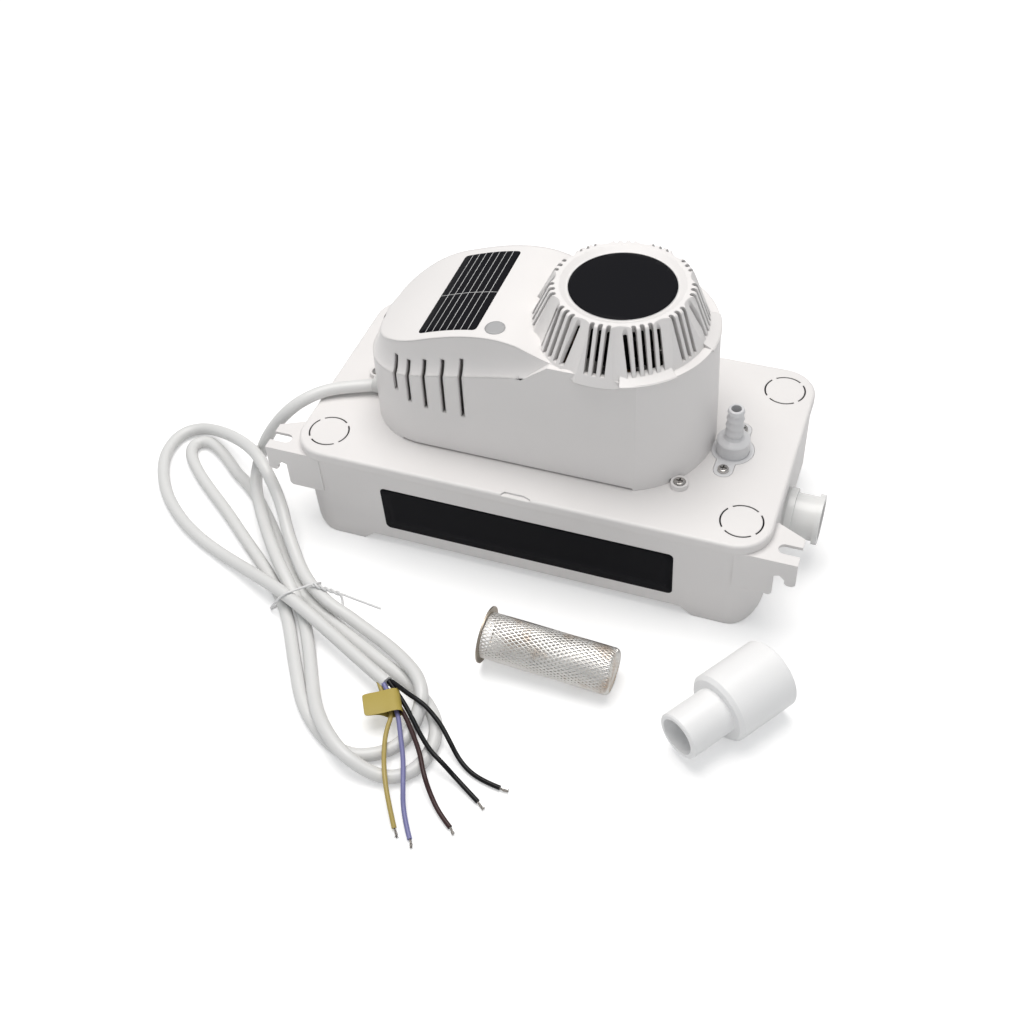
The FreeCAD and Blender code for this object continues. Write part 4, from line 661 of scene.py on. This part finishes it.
for a, b in (
    (put.outputs["Strand width"], outline.inputs["Width"]),
    (put.outputs["Strand width"], outline.inputs["Height"]),
    (put.outputs["Geometry"], sweep.inputs["Curve"]),
    (outline.outputs["Curve"], sweep.inputs["Profile Curve"]),
    (put.outputs["Strands"], spots.inputs["Count"]),
    (put.outputs["Strands"], full.inputs[1]),
    (index.outputs["Index"], share.inputs[0]),
    (full.outputs["Value"], share.inputs[1]),
    (share.outputs["Value"], turn.inputs["Z"]),
    (sweep.outputs["Mesh"], other_way.inputs["Geometry"]),
    (other_way.outputs["Geometry"], flip.inputs["Mesh"]),
    (spots.outputs["Mesh"], spread[0].inputs["Points"]),
    (spots.outputs["Mesh"], spread[1].inputs["Points"]),
    (sweep.outputs["Mesh"], spread[0].inputs["Instance"]),
    (flip.outputs["Mesh"], spread[1].inputs["Instance"]),
    (turn.outputs["Vector"], spread[0].inputs["Rotation"]),
    (turn.outputs["Vector"], spread[1].inputs["Rotation"]),
    (spread[0].outputs["Instances"], both.inputs["Geometry"]),
    (spread[1].outputs["Instances"], both.inputs["Geometry"]),
    (both.outputs["Geometry"], realise.inputs["Geometry"]),
    (realise.outputs["Geometry"], metal.inputs["Geometry"]),
    (put.outputs["Metal"], metal.inputs["Material"]),
    (metal.outputs["Geometry"], out.inputs["Geometry"]),
):
    mesh_tree.links.new(a, b)

tarnished = moulded("tarnished steel", (0.9, 0.88, 0.84), 0.34, metallic=1.0)
tree = tarnished.node_tree
place = tree.nodes.new("ShaderNodeTexCoord")
patch = tree.nodes.new("ShaderNodeTexNoise")
patch.inputs["Scale"].default_value = 62.0
patch.inputs["Detail"].default_value = 5.0
ramp = tree.nodes.new("ShaderNodeValToRGB")
clean, rusty = ramp.color_ramp.elements
clean.position, clean.color = 0.54, (0.93, 0.91, 0.88, 1)
rusty.position, rusty.color = 0.76, (0.48, 0.29, 0.14, 1)
tree.links.new(place.outputs["Object"], patch.inputs["Vector"])
tree.links.new(patch.outputs["Fac"], ramp.inputs["Fac"])
tree.links.new(ramp.outputs["Color"], tree.nodes["Principled BSDF"].inputs["Base Color"])


def turned_to_mesh(piece):
    """The piece's final mesh. The piece itself is taken away."""
    bpy.context.view_layer.update()
    graph = bpy.context.evaluated_depsgraph_get()
    mesh = bpy.data.meshes.new_from_object(piece.evaluated_get(graph))
    bpy.data.objects.remove(piece)
    return mesh


carrier = weave.modifiers.new("expanded mesh", "NODES")
carrier.node_group = mesh_tree
carrier[count_in.identifier] = strand_count
carrier[width_in.identifier] = strand_width
carrier[metal_in.identifier] = tarnished
tube = turned_to_mesh(weave)

end_wire_r, end_overlap, end_pitch, end_slant = 0.00028, 0.0004, 0.0021, 0.66
end_r = basket_r - shoulder + end_overlap
end_strands = wire("end_strands", end_wire_r, roundness=0, capped=False)
for slant in (-end_slant, end_slant):
    for k in range(-5, 6):
        off = k * end_pitch
        half = math.sqrt(end_r ** 2 - off ** 2)
        bar = end_strands.splines.new("POLY")
        bar.points.add(1)
        for p, s in zip(bar.points, (-half, half)):
            x = s * math.cos(slant) - off * math.sin(slant)
            y = s * math.sin(slant) + off * math.cos(slant)
            p.co = (x, y, basket_length, 1)
closed_end = turned_to_mesh(placed("end_strands", end_strands))

mouth_edge, end_skin = 0.0015, 0.0004
bm = bmesh.new()
bm.from_mesh(tube)
bm.from_mesh(closed_end)
bmesh.ops.recalc_face_normals(bm, faces=bm.faces)
# Painted shade: only outward-facing strand faces keep the tarnished steel; inner and side faces,
# and the faces at the mouth, get near-black steel.
for face in bm.faces:
    spot = face.calc_center_median()
    outward = Vector((0, 0, 1))
    if spot.z < basket_length - end_skin:
        outward = Vector((spot.x, spot.y, 0)).normalized()
    bright = face.normal.dot(outward) > 0.5 and spot.z > mouth_edge
    face.material_index = 0 if bright else 1
bm.transform(lie)
basket_mesh = bpy.data.meshes.new("strainer_mesh")
bm.to_mesh(basket_mesh)
bm.free()
basket_mesh.materials.clear()
basket_mesh.materials.append(tarnished)
basket_mesh.materials.append(moulded("steel in painted shade", (0.05, 0.038, 0.03), 0.55, metallic=0.4))
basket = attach(placed("strainer_mesh", basket_mesh), "strainer")
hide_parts("strainer_basket")
dress(moulded("flange steel", (0.42, 0.37, 0.31), 0.42, metallic=1.0), "strainer_flange")

# Pipe adapter: one stepped moulding in pure white, slightly glossy, open at both ends.
# It is loose and lies on its side.
dress(moulded("adapter white", (0.93, 0.93, 0.93), 0.3), "reducer")

# Floor, studio light and camera: a plain pale floor, a soft box above and behind, a weak
# fill from the front right, and the camera where the photograph was taken from.
floor_half, floor_drop, floor_glow = 4, 0.0002, 0.34
floor_mesh = bpy.data.meshes.new("floor")
corners = [(x * floor_half, y * floor_half, 0) for x, y in ((-1, -1), (1, -1), (1, 1), (-1, 1))]
floor_mesh.from_pydata(corners, [], [(0, 1, 2, 3)])
floor = placed("floor", floor_mesh)
floor.location.z = -floor_drop
pale = bpy.data.materials.new("pale floor")
pale.use_nodes = True
tree = pale.node_tree
tree.nodes.clear()
end = tree.nodes.new("ShaderNodeOutputMaterial")
matt = tree.nodes.new("ShaderNodeBsdfDiffuse")
matt.inputs["Color"].default_value = (0.86, 0.86, 0.86, 1)
glow = tree.nodes.new("ShaderNodeEmission")
seen = tree.nodes.new("ShaderNodeLightPath").outputs["Is Camera Ray"]
add = tree.nodes.new("ShaderNodeAddShader")
tree.links.new(sum_of(tree, "MULTIPLY", seen, floor_glow), glow.inputs["Strength"])
tree.links.new(matt.outputs["BSDF"], add.inputs[0])
tree.links.new(glow.outputs["Emission"], add.inputs[1])
tree.links.new(add.outputs["Shader"], end.inputs["Surface"])
floor_mesh.materials.append(pale)
floor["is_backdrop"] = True

world = bpy.data.worlds.new("studio")
world.use_nodes = True
sky = world.node_tree.nodes["Background"]
sky.inputs["Color"].default_value = (0.95, 0.975, 1.0, 1)
sky.inputs["Strength"].default_value = 0.42
bpy.context.scene.world = world
lit_spot = Vector((0, 0, 0.05))
for name, stand, size, power, colour in (
    ("soft_box", (-0.12, 0.15, 1.5), 1.1, 17.5, (1.0, 0.975, 0.95)),
    ("fill", (0.9, -1.3, 0.8), 0.8, 1.0, (1, 1, 1)),
):
    lamp = bpy.data.lights.new(name, "AREA")
    lamp.size = size
    lamp.energy = power
    lamp.color = colour
    holder = placed(name, lamp)
    holder.location = stand
    holder.rotation_euler = (lit_spot - Vector(stand)).to_track_quat("-Z", "Y").to_euler()

camera = bpy.data.cameras.new("camera")
camera.lens = 47.652
camera.clip_start = 0.01
eye = placed("camera", camera)
eye.matrix_world = Matrix((
    (0.93926, -0.21388, 0.26841, 0.20083),
    (0.33948, 0.69379, -0.63514, -0.55520),
    (-0.05038, 0.68768, 0.72426, 0.60503),
    (0, 0, 0, 1),
))
bpy.context.scene.camera = eye
bpy.context.scene.view_settings.view_transform = "Standard"

low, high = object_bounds()
